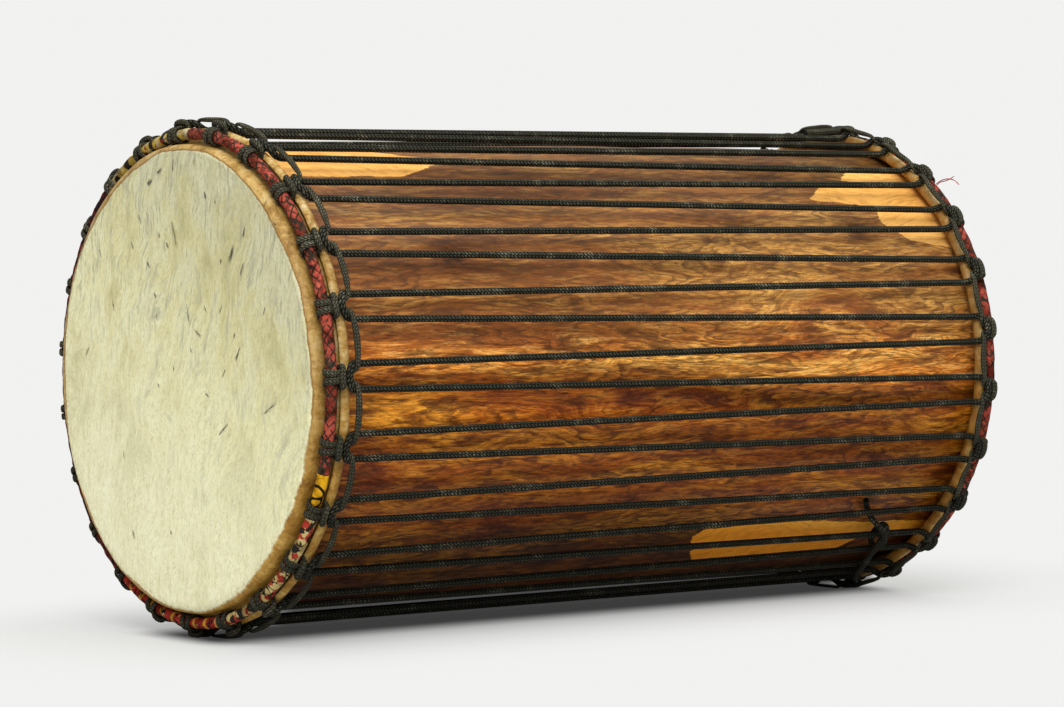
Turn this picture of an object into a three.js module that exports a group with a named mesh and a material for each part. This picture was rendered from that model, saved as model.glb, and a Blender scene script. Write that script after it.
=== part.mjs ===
// A dunun: a West African bass drum with a hide at each end of a carved hardwood shell.
// The drum lies on its side. X runs along the shell from the front head to the rear head,
// Z points up, and the origin is on the floor under the middle of the drum. Lengths are in millimetres.
import * as THREE from 'three';

// Driving sizes of the shell
const drumLength = 697;
const shellRadius = 181.5;
const shellSwell = 1.7;
const shellWall = 18.5;
const edgeRound = 5;
const edgeDepth = 12;
const edgeLand = 7;

// Driving sizes of the hides and rings
const skinThick = 1.1;
const collarGap = 3.029;
const crownRodRadius = 3.5;
const clothThick = 1;
const fleshRodRadius = 2.9;
const crownPlaceDepth = 11.8;
const ringSlot = 2.2;
const seatGap = 0.3;

// Driving sizes of the cords
const hitches = 23;
const frontTurnDegrees = 1.37;
const rearDrawDegrees = 4.6;
const ropeRadius = 2.75;
const cordRadius = 2.3;
const cordGap = 0.45;
const frontArmReach = 9.5;
const rearArmReach = 10.4;
const runRise = 3;

// Counts that set how finely round things are drawn
const rimSteps = 2 * hitches;
const tubeSides = 5;
const swellSteps = 3;

// Sizes that follow from the driving sizes
const stepAngle = 2 * Math.PI / rimSteps;
const clothRadius = crownRodRadius + seatGap / Math.cos(Math.PI / tubeSides) + clothThick;
const wrapMiddle = fleshRodRadius + seatGap / Math.cos(Math.PI / tubeSides) + skinThick / 2;
const wrapRadius = wrapMiddle + skinThick / 2;
const fleshPlace = clothRadius + ringSlot + wrapRadius;
const frontRingRadius = shellRadius + seatGap + skinThick + collarGap + clothRadius;
const ropeRunRadius = frontRingRadius + runRise;
const crownPlane = drumLength / 2 - crownPlaceDepth;
const shellHalf = drumLength / 2 - skinThick - seatGap;
const collarMiddle = shellRadius + seatGap + skinThick / 2;
const cordFlat = cordRadius / 5;

// Half sizes of the flattened cord where it lies on the rings
const legThick = cordRadius / 2;
const legWide = cordRadius * 1.15;
const neckThick = cordRadius * 0.41;
const neckWide = cordRadius * 0.9;
const tuckThick = cordRadius * 0.36;
const slotThick = ringSlot / 2 - seatGap;
const slotWide = cordRadius * 0.82;
const crossWide = cordRadius * 0.75;
const crossThick = cordRadius * 0.6;

// Heights of the crossings above the ring's middle, from the ring outwards
const crownTop = clothRadius + seatGap + legThick;
const barHeight = crownTop + legThick + cordGap * 2 + cordRadius;
const barPlace = cordRadius * 1.35;
const neckHeight = wrapRadius + seatGap + cordGap * 0.3 + neckThick;
const bendHeight = neckHeight + neckThick + cordGap * 1.7 + ropeRadius;
const bendPlace = barPlace + cordRadius + cordGap + ropeRadius;
const neckSide = neckWide + cordGap * 0.7;
const slotSide = neckSide + neckWide + cordGap + slotWide;
const armPlace = fleshPlace + wrapRadius * 0.8;
const armHeight = Math.sqrt((wrapRadius + seatGap + ropeRadius) ** 2 - (armPlace - fleshPlace) ** 2);
const crossPlace = armPlace + crossWide * 0.7;
const crossHeight = armHeight + ropeRadius + cordGap * 2.5 + crossThick;

// The front stands on its lowest hitch, the rear on the cord between its two lowest hitches
const frontTurn = frontTurnDegrees * Math.PI / 180;
const frontReach = rimRadius(frontRingRadius + barHeight + cordRadius, frontTurn) * Math.cos(frontTurn);
const floorRadius = frontReach - cordFlat;
const rearStandPlace = stepAngle * frontRingRadius - rearArmReach;
const rearStandAngle = rearStandPlace / frontRingRadius;
const rearStandShare = rimRadius(1, rearStandAngle) * Math.cos(rearStandAngle);
const rearRingRadius = frontReach / rearStandShare - crossHeight - crossThick;

// The front hitches are turned a little from the lowest line, and the rear ones drawn to the near side
const heads = {
  front: { side: -1, ring: frontRingRadius, firstStep: 0, turn: frontTurn, draw: 0, arm: frontArmReach },
  rear: {
    side: 1, ring: rearRingRadius, firstStep: 1, turn: 0, draw: rearDrawDegrees * Math.PI / 180,
    arm: rearArmReach,
  },
};

// Materials
function finish(colour, roughness, metalness = 0) {
  return new THREE.MeshStandardMaterial({ color: colour, roughness, metalness });
}
const hardwood = finish(0x6b3a20, 0.45);
const hide = finish(0xcfc6a2, 0.75);
const iron = finish(0x55504c, 0.5, 0.9);
const cordBlack = finish(0x24271f, 0.85);
const cordOlive = finish(0x3c3f34, 0.85);
const clothColours = {
  redLattice: finish(0xb23a30, 0.9),
  yellow: finish(0xd9a520, 0.9),
  creamMotif: finish(0xc9b68c, 0.9),
  redYellow: finish(0xa8402c, 0.9),
  darkRed: finish(0x7c2f28, 0.9),
  bands: finish(0xb7a04f, 0.9),
  russet: finish(0x8e4a35, 0.9),
};

// A point of the drum from its place along the axis, its angle from the lowest line and its radius
function drumPoint(along, angle, radius) {
  return new THREE.Vector3(along, radius * Math.sin(angle), floorRadius - radius * Math.cos(angle));
}

// The rings are drawn with straight stretches, so a radius shrinks between two corners of the rim
function rimRadius(radius, angle) {
  const within = angle - Math.floor(angle / stepAngle) * stepAngle;
  return radius * Math.cos(stepAngle / 2) / Math.cos(within - stepAngle / 2);
}

// A place near a head: inward from the crown ring's plane, round the rim from a hitch, out from the ring
function headPoint(head, hitchAngle, place) {
  const angle = hitchAngle + place.y / head.ring;
  const radius = rimRadius(head.ring + place.z, angle);
  return drumPoint(head.side * (crownPlane - place.x), angle, radius);
}

// Joins rings of points into one closed body, with its faces turned outwards
function joinRings(rings, endless) {
  const count = rings[0].length;
  const corners = rings.flat().flatMap((point) => [point.x, point.y, point.z]);
  const faces = [];
  const last = endless ? rings.length : rings.length - 1;
  for (let i = 0; i < last; i += 1) {
    const here = i * count;
    const next = ((i + 1) % rings.length) * count;
    for (let j = 0; j < count; j += 1) {
      const k = (j + 1) % count;
      faces.push([here + j, here + k, next + k], [here + j, next + k, next + j]);
    }
  }
  if (!endless) {
    const end = (rings.length - 1) * count;
    for (let j = 1; j < count - 1; j += 1) {
      faces.push([0, j + 1, j], [end, end + j, end + j + 1]);
    }
  }
  const a = new THREE.Vector3();
  const b = new THREE.Vector3();
  const c = new THREE.Vector3();
  let volume = 0;
  for (const face of faces) {
    a.fromArray(corners, 3 * face[0]);
    b.fromArray(corners, 3 * face[1]);
    c.fromArray(corners, 3 * face[2]);
    volume += a.dot(b.cross(c));
  }
  const outward = volume > 0 ? faces : faces.map((face) => [face[0], face[2], face[1]]);
  const geometry = new THREE.BufferGeometry();
  geometry.setAttribute('position', new THREE.Float32BufferAttribute(corners, 3));
  geometry.setIndex(outward.flat());
  geometry.computeVertexNormals();
  return geometry;
}

// One section of a cord: its middle, the way it faces, and its half width and half thickness
function cordSection(stop, before, after) {
  const along = after.middle.clone().sub(before.middle).normalize();
  const across = new THREE.Vector3().crossVectors(along, stop.facing).normalize();
  const out = new THREE.Vector3().crossVectors(across, along).normalize();
  const corners = [[1, 1], [-1, 1], [-1, -1], [1, -1]];
  return corners.map(([wide, thick]) => stop.middle.clone()
    .addScaledVector(across, wide * stop.wide)
    .addScaledVector(out, thick * stop.thick));
}

// A cord through its stops as one unbroken tube
function cordRings(stops, endless) {
  return stops.map((stop, i) => {
    const before = stops[i - 1] ?? (endless ? stops.at(-1) : stop);
    const after = stops[i + 1] ?? (endless ? stops[0] : stop);
    return cordSection(stop, before, after);
  });
}

// Half of one hitch, from the crossing over the rope's arm to the bar over the crown ring.
// Each stop has its place (inward, round the rim, outward), its facing, half width and half thickness.
function halfHitch(arm) {
  const tuck = clothRadius + seatGap + tuckThick;
  // The stops round the crown ring are 50 degrees apart, so they stand out by this much to clear it
  const cornerShare = 1 / Math.cos(Math.PI * 25 / 180);
  const turn = (degrees, radius, sideways, thick, wide) => {
    const angle = degrees * Math.PI / 180;
    const reach = radius * cornerShare;
    return {
      place: [reach * Math.cos(angle), sideways, reach * Math.sin(angle)],
      facing: [Math.cos(angle), 0, Math.sin(angle)],
      wide,
      thick,
    };
  };
  return [
    {
      place: [crossPlace, arm, crossHeight],
      facing: [0, 0, 1], wide: crossWide, thick: crossThick,
    },
    {
      place: [crossPlace + cordGap, arm - ropeRadius * 1.35, crossHeight - cordGap * 1.5],
      facing: [0, 0.45, 0.9], wide: crossWide, thick: crossThick * 0.8,
    },
    {
      place: [fleshPlace + wrapRadius * 0.48, neckSide * 1.1, neckHeight],
      facing: [0.2, 0.2, 0.9], wide: neckWide * 0.9, thick: neckThick,
    },
    turn(90, crownTop, neckSide * 1.1, legThick, legWide * 0.86),
    turn(140, crownTop, neckSide * 1.25, legThick, legWide),
    turn(190, tuck, neckSide * 1.5, tuckThick, legWide * 0.9),
    turn(240, tuck, (neckSide * 1.5 + slotSide) / 2, tuckThick, slotWide),
    turn(290, tuck, slotSide, tuckThick, slotWide),
    {
      place: [clothRadius + ringSlot / 2, slotSide, -wrapRadius * 0.68],
      facing: [1, 0, -0.3], wide: slotWide, thick: slotThick,
    },
    {
      place: [clothRadius + ringSlot / 2, slotSide + cordGap * 2.6, neckHeight + cordGap],
      facing: [1, 0, 0.2], wide: slotWide, thick: slotThick * 1.7,
    },
    {
      place: [barPlace * 1.3, slotSide * 1.08, barHeight - cordRadius * 0.25],
      facing: [0.5, 0.6, 0.62], wide: slotWide, thick: slotWide,
    },
    {
      place: [barPlace, neckSide, barHeight],
      facing: [0, 0, 1], wide: cordRadius, thick: cordRadius,
    },
  ];
}

// One stop of a half hitch as a place on the drum, on either side of the hitch's middle
function placeStop(head, hitchAngle, stop, hand) {
  const [inward, sideways, outward] = stop.place;
  const middle = new THREE.Vector3(inward, hand * sideways, outward);
  const way = new THREE.Vector3(stop.facing[0], hand * stop.facing[1], stop.facing[2]);
  const here = headPoint(head, hitchAngle, middle);
  const angle = hitchAngle + middle.y / head.ring;
  const facing = new THREE.Vector3(
    -head.side * way.x,
    way.y * Math.cos(angle) + way.z * Math.sin(angle),
    way.y * Math.sin(angle) - way.z * Math.cos(angle),
  );
  return { middle: here, facing, wide: stop.wide, thick: stop.thick };
}

// The angle of a hitch from the lowest line of the drum
function hitchAngle(head, index) {
  const even = (head.firstStep + 2 * index) * stepAngle;
  return even + head.turn + head.draw * (1 - Math.cos(even)) / 2;
}

// The cord that holds one crown ring: a scallop and a hitch for each pair of rope runs
function cradleStops(head) {
  const half = halfHitch(head.arm);
  const stops = [];
  for (let index = 0; index < hitches; index += 1) {
    const angle = hitchAngle(head, index);
    for (const stop of half) {
      stops.push(placeStop(head, angle, stop, -1));
    }
    for (const stop of [...half].reverse()) {
      stops.push(placeStop(head, angle, stop, 1));
    }
  }
  return stops;
}

function cradleCord(head) {
  const rings = cordRings(cradleStops(head), true);
  // The drum's weight presses the lowest cord flat on the floor
  for (const corner of rings.flat()) {
    corner.z = Math.max(corner.z, 0);
  }
  return joinRings(rings, true);
}

// The bend of the tension rope round the neck of one hitch, as half of it
function halfBend(head) {
  const runHeight = ropeRunRadius - head.ring;
  return [
    {
      place: [armPlace + ropeRadius * 1.9, head.arm, runHeight],
      facing: [0, 0, 1],
    },
    {
      place: [armPlace, head.arm, armHeight],
      facing: [0, 0, 1],
    },
    {
      place: [bendPlace + ropeRadius, head.arm - ropeRadius * 0.75, bendHeight - cordGap],
      facing: [0, 0, 1],
    },
  ];
}

// The tension rope: one endless zigzag between the two heads
function ropeStops() {
  const stops = [];
  for (let index = 0; index < hitches; index += 1) {
    for (const head of [heads.front, heads.rear]) {
      const angle = hitchAngle(head, index);
      const half = halfBend(head);
      const crown = [{ place: [bendPlace, 0, bendHeight], facing: [0, 0, 1] }];
      for (const [list, hand] of [[half, -1], [crown, 1], [[...half].reverse(), 1]]) {
        for (const stop of list) {
          const square = { ...stop, wide: ropeRadius * 0.8, thick: ropeRadius * 0.8 };
          stops.push(placeStop(head, angle, square, hand));
        }
      }
    }
  }
  return stops;
}

// The carved shell, turned round the X axis from a closed outline of radius and place
function shellOutline() {
  const outline = [];
  for (let i = -swellSteps; i <= swellSteps; i += 1) {
    const share = i / swellSteps;
    const along = share * (shellHalf - edgeRound);
    outline.push([shellRadius + shellSwell * (1 - share * share), along]);
  }
  const bore = shellRadius - shellWall;
  const crest = shellRadius - edgeRound;
  return [
    ...outline,
    [crest, shellHalf],
    [crest - edgeLand, shellHalf],
    [bore, shellHalf - edgeDepth],
    [bore, edgeDepth - shellHalf],
    [crest - edgeLand, -shellHalf],
    [crest, -shellHalf],
    outline[0],
  ];
}

// Turns an outline of [radius, place along X] into a body
function spin(outline) {
  const points = outline.map(([radius, along]) => new THREE.Vector2(radius, along));
  return new THREE.LatheGeometry(points, rimSteps);
}

// The middle line of a hide: across the head, over the edge, down the collar, under the flesh ring,
// and round it to the fold
function hideMiddle(head) {
  const face = -crownPlaceDepth + skinThick / 2;
  const crest = shellRadius - edgeRound;
  const lift = seatGap + skinThick / 2;
  const line = [
    [0, face],
    [crest + lift * 0.4, face],
    [collarMiddle, face + edgeRound],
    [collarMiddle, cordRadius],
  ];
  for (const turnShare of [0.6, 0.4, 0.2, 0, -0.2]) {
    const angle = turnShare * 2 * Math.PI;
    line.push([head.ring + wrapMiddle * Math.cos(angle), fleshPlace + wrapMiddle * Math.sin(angle)]);
  }
  return line;
}

// Gives a middle line its thickness: out along one side, and back along the other
function thicken(line, thick) {
  const offset = (hand) => line.map(([radius, along], i) => {
    const [r0, a0] = line[Math.max(i - 1, 0)];
    const [r1, a1] = line[Math.min(i + 1, line.length - 1)];
    const into = new THREE.Vector2(radius - r0, along - a0).normalize();
    const away = new THREE.Vector2(r1 - radius, a1 - along).normalize();
    const both = into.clone().add(away).normalize();
    const bend = into.lengthSq() * away.lengthSq() > 0 ? Math.max(both.dot(away), 0.5) : 1;
    const reach = hand * thick / 2 / bend;
    return [radius - both.y * reach, along + both.x * reach];
  });
  return [...offset(-1), ...offset(1).reverse()];
}

function hideOutline(head) {
  const outline = thicken(hideMiddle(head), skinThick);
  const turned = outline.map(([radius, inward]) => {
    return [Math.max(radius, 0), head.side * (crownPlane - inward)];
  });
  return head.side > 0 ? turned.reverse() : turned;
}

// A stretch of cloth wound on a crown ring: a sleeve open at both ends
function clothSleeve(head, from, to) {
  const steps = [];
  for (let step = from; step <= to; step += 1) {
    steps.push(step);
  }
  const cut = seatGap / 2 / head.ring;
  const rings = [];
  for (let side = 0; side < tubeSides; side += 1) {
    const turn = side * 2 * Math.PI / tubeSides;
    const line = (radius) => steps.map((step) => {
      const angle = Math.min(Math.max(step * stepAngle, from * stepAngle + cut), to * stepAngle - cut);
      const out = rimRadius(head.ring + radius * Math.cos(turn), angle);
      return drumPoint(head.side * (crownPlane - radius * Math.sin(turn)), angle, out);
    });
    rings.push([...line(clothRadius), ...line(clothRadius - clothThick).reverse()]);
  }
  return joinRings(rings, true);
}

// The cloths of each crown ring, with the step of the rim where each begins, counted from the lowest line
const cloths = {
  front: [
    { firstStep: -23, colour: 'russet' },
    { firstStep: -22, colour: 'redLattice' },
    { firstStep: -9, colour: 'yellow' },
    { firstStep: -8, colour: 'creamMotif' },
    { firstStep: -2, colour: 'redYellow' },
    { firstStep: 4, colour: 'darkRed' },
    { firstStep: 18, colour: 'bands' },
  ],
  rear: [
    { firstStep: -20, colour: 'redLattice' },
    { firstStep: -5, colour: 'darkRed' },
    { firstStep: 8, colour: 'redYellow' },
    { firstStep: 17, colour: 'creamMotif' },
  ],
};

// The spare end of the tension rope at the rear: under one run, round the next and away below.
// Points are the distance in from the rear crown ring, degrees from the lowest line, and rise over the runs.
const tailRoute = [
  [100, -53.3, -6.8], [93.5, -52, -6.6], [86.5, -50.4, -6.5], [79, -48.7, -6], [70.5, -46.7, -2.8],
  [64, -43.95, 3.6], [60, -41.25, 5.8], [59, -38.55, 3.8], [60.5, -37.05, -0.8],
  [64, -37.75, -5.6], [68.5, -40.55, -6.8], [72, -43.05, -4.4], [73.5, -43.65, 0.7],
  [71.5, -42.05, 7], [68.5, -38.85, 9.4], [66, -35.25, 7.4], [66.5, -31.2, 6],
  [69, -25.6, 5.8], [73, -19.8, 5.8], [77, -14.2, 5.8], [80, -9.2, 4.8],
];

// The tied end of the rear cradle cord, laid along the highest run of the rope
const endRoute = [
  [15.5, 181.4, 14.1], [21, 183.1, 10.6], [27, 184.5, 6.8], [34, 185.5, 6],
  [42, 186.1, 6], [50, 186.3, 5.8], [57, 186.1, 5.4],
];

// A cord of even thickness through points of a route by the rear head
function routeCord(route, wide, thick) {
  const stops = route.map(([inward, degrees, rise]) => {
    const angle = degrees * Math.PI / 180;
    const middle = drumPoint(crownPlane - inward, angle, ropeRunRadius + rise);
    const facing = drumPoint(0, angle, 1).sub(drumPoint(0, angle, 0));
    return { middle, facing, wide, thick };
  });
  return joinRings(cordRings(stops, false), false);
}

// Points spread over the skin of a cord, each with how many stops along the cord it lies
function skinPoints(stops) {
  const points = [];
  const stepsBetween = 6;
  const pointsRound = 16;
  for (let i = 0; i < stops.length - 1; i += 1) {
    const along = stops[i + 1].middle.clone().sub(stops[i].middle).normalize();
    for (let j = 0; j < stepsBetween; j += 1) {
      const share = j / stepsBetween;
      const middle = stops[i].middle.clone().lerp(stops[i + 1].middle, share);
      const facing = stops[i].facing.clone().lerp(stops[i + 1].facing, share);
      const wide = THREE.MathUtils.lerp(stops[i].wide, stops[i + 1].wide, share);
      const thick = THREE.MathUtils.lerp(stops[i].thick, stops[i + 1].thick, share);
      const across = new THREE.Vector3().crossVectors(along, facing).normalize();
      const out = new THREE.Vector3().crossVectors(across, along).normalize();
      for (let k = 0; k < pointsRound; k += 1) {
        const turn = 2 * Math.PI * k / pointsRound;
        const reach = 1 / Math.max(Math.abs(Math.cos(turn)), Math.abs(Math.sin(turn)));
        points.push({
          run: i + share,
          at: middle.clone()
            .addScaledVector(across, reach * Math.cos(turn) * wide)
            .addScaledVector(out, reach * Math.sin(turn) * thick),
        });
      }
    }
  }
  return points;
}

// The least gap between a cord and itself, over places more than two stops apart along it
function leastGap(stops) {
  const points = skinPoints(stops);
  const stopsApart = 2.2;
  let least = Infinity;
  for (let i = 0; i < points.length; i += 1) {
    for (let j = i + 1; j < points.length; j += 1) {
      if (points[j].run - points[i].run > stopsApart) {
        least = Math.min(least, points[i].at.distanceTo(points[j].at));
      }
    }
  }
  return least;
}

const drum = new THREE.Group();

function addPiece(name, geometry, material) {
  const mesh = new THREE.Mesh(geometry, material);
  mesh.name = name;
  drum.add(mesh);
  return mesh;
}

// A turned piece is made round the Y axis, then laid along X at the height of the drum's axis
function addTurned(name, outline, material) {
  const mesh = addPiece(name, spin(outline), material);
  mesh.rotation.z = -Math.PI / 2;
  mesh.position.z = floorRadius;
}

function addRod(name, head, along, tube) {
  const torus = new THREE.TorusGeometry(head.ring, tube, tubeSides, rimSteps);
  const mesh = addPiece(name, torus, iron);
  mesh.rotation.y = Math.PI / 2;
  mesh.position.set(head.side * along, 0, floorRadius);
}

addTurned('shell', shellOutline(), hardwood);
for (const [end, head] of Object.entries(heads)) {
  addTurned(`${end}_skin`, hideOutline(head), hide);
  addRod(`${end}_flesh_ring`, head, crownPlane - fleshPlace, fleshRodRadius);
  addRod(`${end}_crown_ring`, head, crownPlane, crownRodRadius);
  const strips = cloths[end];
  strips.forEach(({ firstStep, colour }, i) => {
    const lastStep = i + 1 < strips.length ? strips[i + 1].firstStep : strips[0].firstStep + rimSteps;
    addPiece(`${end}_ring_cloth_${i + 1}`, clothSleeve(head, firstStep, lastStep), clothColours[colour]);
  });
  addPiece(`${end}_cradle_cord`, cradleCord(head), cordOlive);
}
addPiece('tension_rope', joinRings(cordRings(ropeStops(), true), true), cordBlack);
addPiece('rope_tail', routeCord(tailRoute, cordRadius * 0.8, cordRadius * 0.8), cordBlack);
addPiece('cradle_cord_end', routeCord(endRoute, cordRadius, cordRadius * 0.6), cordOlive);

// Every hitch of a cord is alike, so the first few stand for all of them
const hitchesMeasured = 3;
for (const [end, head] of Object.entries(heads)) {
  const hitchStops = 2 * halfHitch(head.arm).length;
  const gap = leastGap(cradleStops(head).slice(0, hitchesMeasured * hitchStops));
  console.log(`${end}_cradle_cord: least gap to itself ${gap.toFixed(2)} mm`);
}
const bendStops = 2 * halfBend(heads.front).length + 1;
const ropeGap = leastGap(ropeStops().slice(0, 2 * hitchesMeasured * bendStops));
console.log(`tension_rope: least gap to itself ${ropeGap.toFixed(2)} mm`);

export default drum;
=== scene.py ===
import bpy
import numpy as np
from mathutils import Matrix, Vector


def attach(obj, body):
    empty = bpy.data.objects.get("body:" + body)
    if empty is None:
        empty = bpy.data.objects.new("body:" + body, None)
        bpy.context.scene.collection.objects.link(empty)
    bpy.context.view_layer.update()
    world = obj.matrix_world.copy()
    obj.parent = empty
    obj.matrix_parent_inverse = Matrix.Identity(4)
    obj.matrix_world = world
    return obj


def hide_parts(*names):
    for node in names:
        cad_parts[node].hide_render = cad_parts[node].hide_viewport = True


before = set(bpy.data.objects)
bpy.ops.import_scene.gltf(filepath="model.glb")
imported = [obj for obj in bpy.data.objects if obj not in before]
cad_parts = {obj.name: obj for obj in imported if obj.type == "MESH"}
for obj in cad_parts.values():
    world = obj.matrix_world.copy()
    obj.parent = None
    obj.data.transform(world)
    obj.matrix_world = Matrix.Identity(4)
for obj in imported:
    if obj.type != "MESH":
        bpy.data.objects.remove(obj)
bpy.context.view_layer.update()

MM = 0.001
TURN = 2 * np.pi

# Sizes of the shell and hides
drum_length = 697.0
shell_radius = 181.5
shell_swell = 1.7
shell_wall = 18.5
edge_round = 5.0
edge_depth = 12.0
edge_land = 7.0
skin_thick = 1.1
seat_gap = 0.3

# Sizes of the wood's growth lines, of the rings in its knots and of the waves of its carving
line_step = 0.8
eye_ring_step = 1.25
growth_reach = 40.0
growth_lean_degrees = 10
growth_share_of_wall = 0.25
third_share_of_height = 0.35
carving_height = 0.3

# Sizes of the hairline, of the pleats on the hides' collar and cover, and of hairs and threads
hairline_reach = 177.6
hairline_lean = 2.0
collar_radius = 176.0
collar_fade = 4.0
cover_place = 2.0
cover_fade = 6.0
collar_pleat = 0.22
collar_crease = 0.10
cover_pleat = 0.20
cover_crease = 0.14
tuft_hair_thick = 0.11
edge_hair_thick = 0.10
edge_hair_count = 900
thread_thick = 0.42

# Sizes of the rings and their covers
crown_rod_radius = 3.5
flesh_rod_radius = 2.9
cloth_radius = 4.87
cloth_thin_radius = 4.12
cloth_gap = 0.4
winding_pitch = 17.0
winding_step = 0.42
crease_height = 0.12
rod_clearance = 0.2
wrap_radius = 4.37
front_ring_radius = 190.8
rear_ring_radius = 191.402
flesh_place = 11.442
crown_place_depth = 11.8

# Sizes of the cords
hitches = 23
rope_radius = 2.75
cord_radius = 2.3
cord_gap = 0.45
ring_slot = 2.2
run_radius = 193.8
front_turn_degrees = 1.37
rear_draw_degrees = 4.6

# The drum's place
floor_radius = 202.978
crown_plane = drum_length / 2 - crown_place_depth
step_angle = TURN / (2 * hitches)

# The front hitches are turned a little from the lowest line, and the rear ones drawn to the near side
heads = {
    "front": {"side": -1, "ring": front_ring_radius, "first_step": 0, "arm": 9.5,
              "turn": np.radians(front_turn_degrees), "draw": 0.0},
    "rear": {"side": 1, "ring": rear_ring_radius, "first_step": 1, "arm": 10.4,
             "turn": 0.0, "draw": np.radians(rear_draw_degrees)},
}


# Places on the drum
def turns(count):
    """Angles in equal steps round a full turn, without the last one."""
    return TURN * np.arange(count) / count


def columns(*values):
    """Values side by side, as the last axis of one array."""
    return np.stack(np.broadcast_arrays(*values), axis=-1)


def drum_point(along, angle, radius):
    """A point from its place along the axis, its angle from the lowest line and its radius:
    y = radius sin(angle), z = axis height - radius cos(angle)."""
    return columns(along, radius * np.sin(angle), floor_radius - radius * np.cos(angle))


def outward(angle):
    """The way straight out from the axis."""
    return drum_point(0.0, angle, 1.0) - drum_point(0.0, angle, 0.0)


def turned_from(angle, degrees):
    """The signed turn from an angle given in degrees, in radians, between -pi and pi."""
    return (angle - np.radians(degrees) + np.pi) % TURN - np.pi


def bell(along, angle, middle_along, degrees, reach_along, reach_round):
    """1 in the middle of a patch of the shell, and 1 / e as far away as the patch reaches."""
    round_shell = turned_from(angle, degrees) * shell_radius / reach_round
    return np.exp(-((along - middle_along) / reach_along) ** 2 - round_shell ** 2)


def circle(angle, radius):
    """Both coordinates of a place on a circle, for a pattern that closes round the drum."""
    return np.sin(angle) * radius, np.cos(angle) * radius


def wave_sum(count, seed, *coordinates):
    """A smooth pattern without a grain of its own: the mean of sines in random directions."""
    random = np.random.default_rng(seed)
    total = 0
    for _ in range(count):
        phase = random.uniform(0, TURN)
        for coordinate in coordinates:
            phase = phase + coordinate * random.normal()
        total = total + np.sin(phase)
    return total * np.sqrt(2 / count)


# Meshes
def grid_quads(rows, across, rows_closed, columns_closed):
    """The quads of a grid of points, where point (i, j) has index i * across + j."""
    i = np.arange(rows if rows_closed else rows - 1)[:, None]
    j = np.arange(across if columns_closed else across - 1)[None, :]
    next_i = (i + 1) % rows
    next_j = (j + 1) % across
    corners = [i * across + j, i * across + next_j, next_i * across + next_j, next_i * across + j]
    return columns(*corners).reshape(-1, 4)


def grid_uv(u_lines, v_lines):
    """A UV corner for each corner of the grid's quads. u_lines and v_lines hold one value more
    than the points where the grid is closed, so the last quads don't run back to the start."""
    i = np.arange(len(v_lines) - 1)[:, None]
    j = np.arange(len(u_lines) - 1)[None, :]
    corners = [(i, j), (i, j + 1), (i + 1, j + 1), (i + 1, j)]
    return np.stack([columns(u_lines[c[1]], v_lines[c[0]]) for c in corners], axis=2).reshape(-1, 2)


def reversed_uv(uv):
    """The UV corners of quads that are turned over."""
    return uv.reshape(-1, 4, 2)[:, ::-1].reshape(-1, 2)


def end_caps(count, across):
    """The two faces that close a grid of rings, as indices of its points."""
    return [np.arange(across)[::-1], (count - 1) * across + np.arange(across)]


def signed_volume(points, faces):
    """Six times the volume inside the faces, positive where they point outwards."""
    total = 0.0
    for face in faces:
        face = np.atleast_2d(face)
        for k in range(1, face.shape[1] - 1):
            a, b, c = points[face[:, 0]], points[face[:, k]], points[face[:, k + 1]]
            total += np.einsum("ij,ij->i", a, np.cross(b, c)).sum()
    return total


def add_object(name, data):
    thing = bpy.data.objects.new(name, data)
    bpy.context.scene.collection.objects.link(thing)
    return thing


def make_piece(name, points, quads, material, caps=(), uv=None, fields=None):
    """A mesh from points in millimetres, quads and end caps, with its faces turned outwards."""
    points = np.asarray(points, float).reshape(-1, 3)
    if signed_volume(points, [quads, *caps]) < 0:
        quads = quads[:, ::-1]
        caps = [cap[::-1] for cap in caps]
        if uv is not None:
            uv = reversed_uv(uv)
    mesh = bpy.data.meshes.new(name)
    mesh.from_pydata((points * MM).tolist(), [], [*quads.tolist(), *(cap.tolist() for cap in caps)])
    mesh.polygons.foreach_set("use_smooth", np.ones(len(mesh.polygons), bool))
    if uv is not None:
        flat = np.zeros((len(mesh.loops), 2), np.float32)
        flat[: len(uv)] = uv
        layer = mesh.uv_layers.new(name="along")
        layer.data.foreach_set("uv", flat.ravel())
    for field, values in (fields or {}).items():
        kind = "FLOAT_VECTOR" if np.ndim(values) == 2 else "FLOAT"
        attribute = mesh.attributes.new(field, kind, "POINT")
        attribute.data.foreach_set("vector" if kind == "FLOAT_VECTOR" else "value",
                                   np.asarray(values, np.float32).ravel())
    mesh.validate()
    mesh.materials.append(material)
    return add_object(name, mesh)


def fit_piece(piece, slot, *nodes):
    """The piece rides on the drum and stands for its nodes. Its slot is not used."""
    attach(piece, "root")
    if nodes:
        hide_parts(*nodes)


def spline(controls, steps, closed):
    """A uniform cubic B-spline: each value is a weighted mean of four neighbouring controls."""
    controls = np.asarray(controls, float)
    if closed:
        padded = np.concatenate([controls[-1:], controls, controls[:2]])
    else:
        first = 2 * controls[:1] - controls[1:2]
        last = 2 * controls[-1:] - controls[-2:-1]
        padded = np.concatenate([first, controls, last])
    t = np.arange(steps)[None, :, None] / steps
    flat = padded.reshape(len(padded), -1)
    a, b, c, d = (flat[k: len(flat) - 3 + k][:, None, :] for k in range(4))
    value = (
        a * (1 - t) ** 3
        + b * (3 * t ** 3 - 6 * t ** 2 + 4)
        + c * (-3 * t ** 3 + 3 * t ** 2 + 3 * t + 1)
        + d * t ** 3
    ) / 6
    value = value.reshape(-1, flat.shape[1])
    if not closed:
        value = np.concatenate([value, flat[-2:-1]])
    return value.reshape(-1, *controls.shape[1:])


def unit(vectors):
    return vectors / np.linalg.norm(vectors, axis=-1, keepdims=True)


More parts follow.
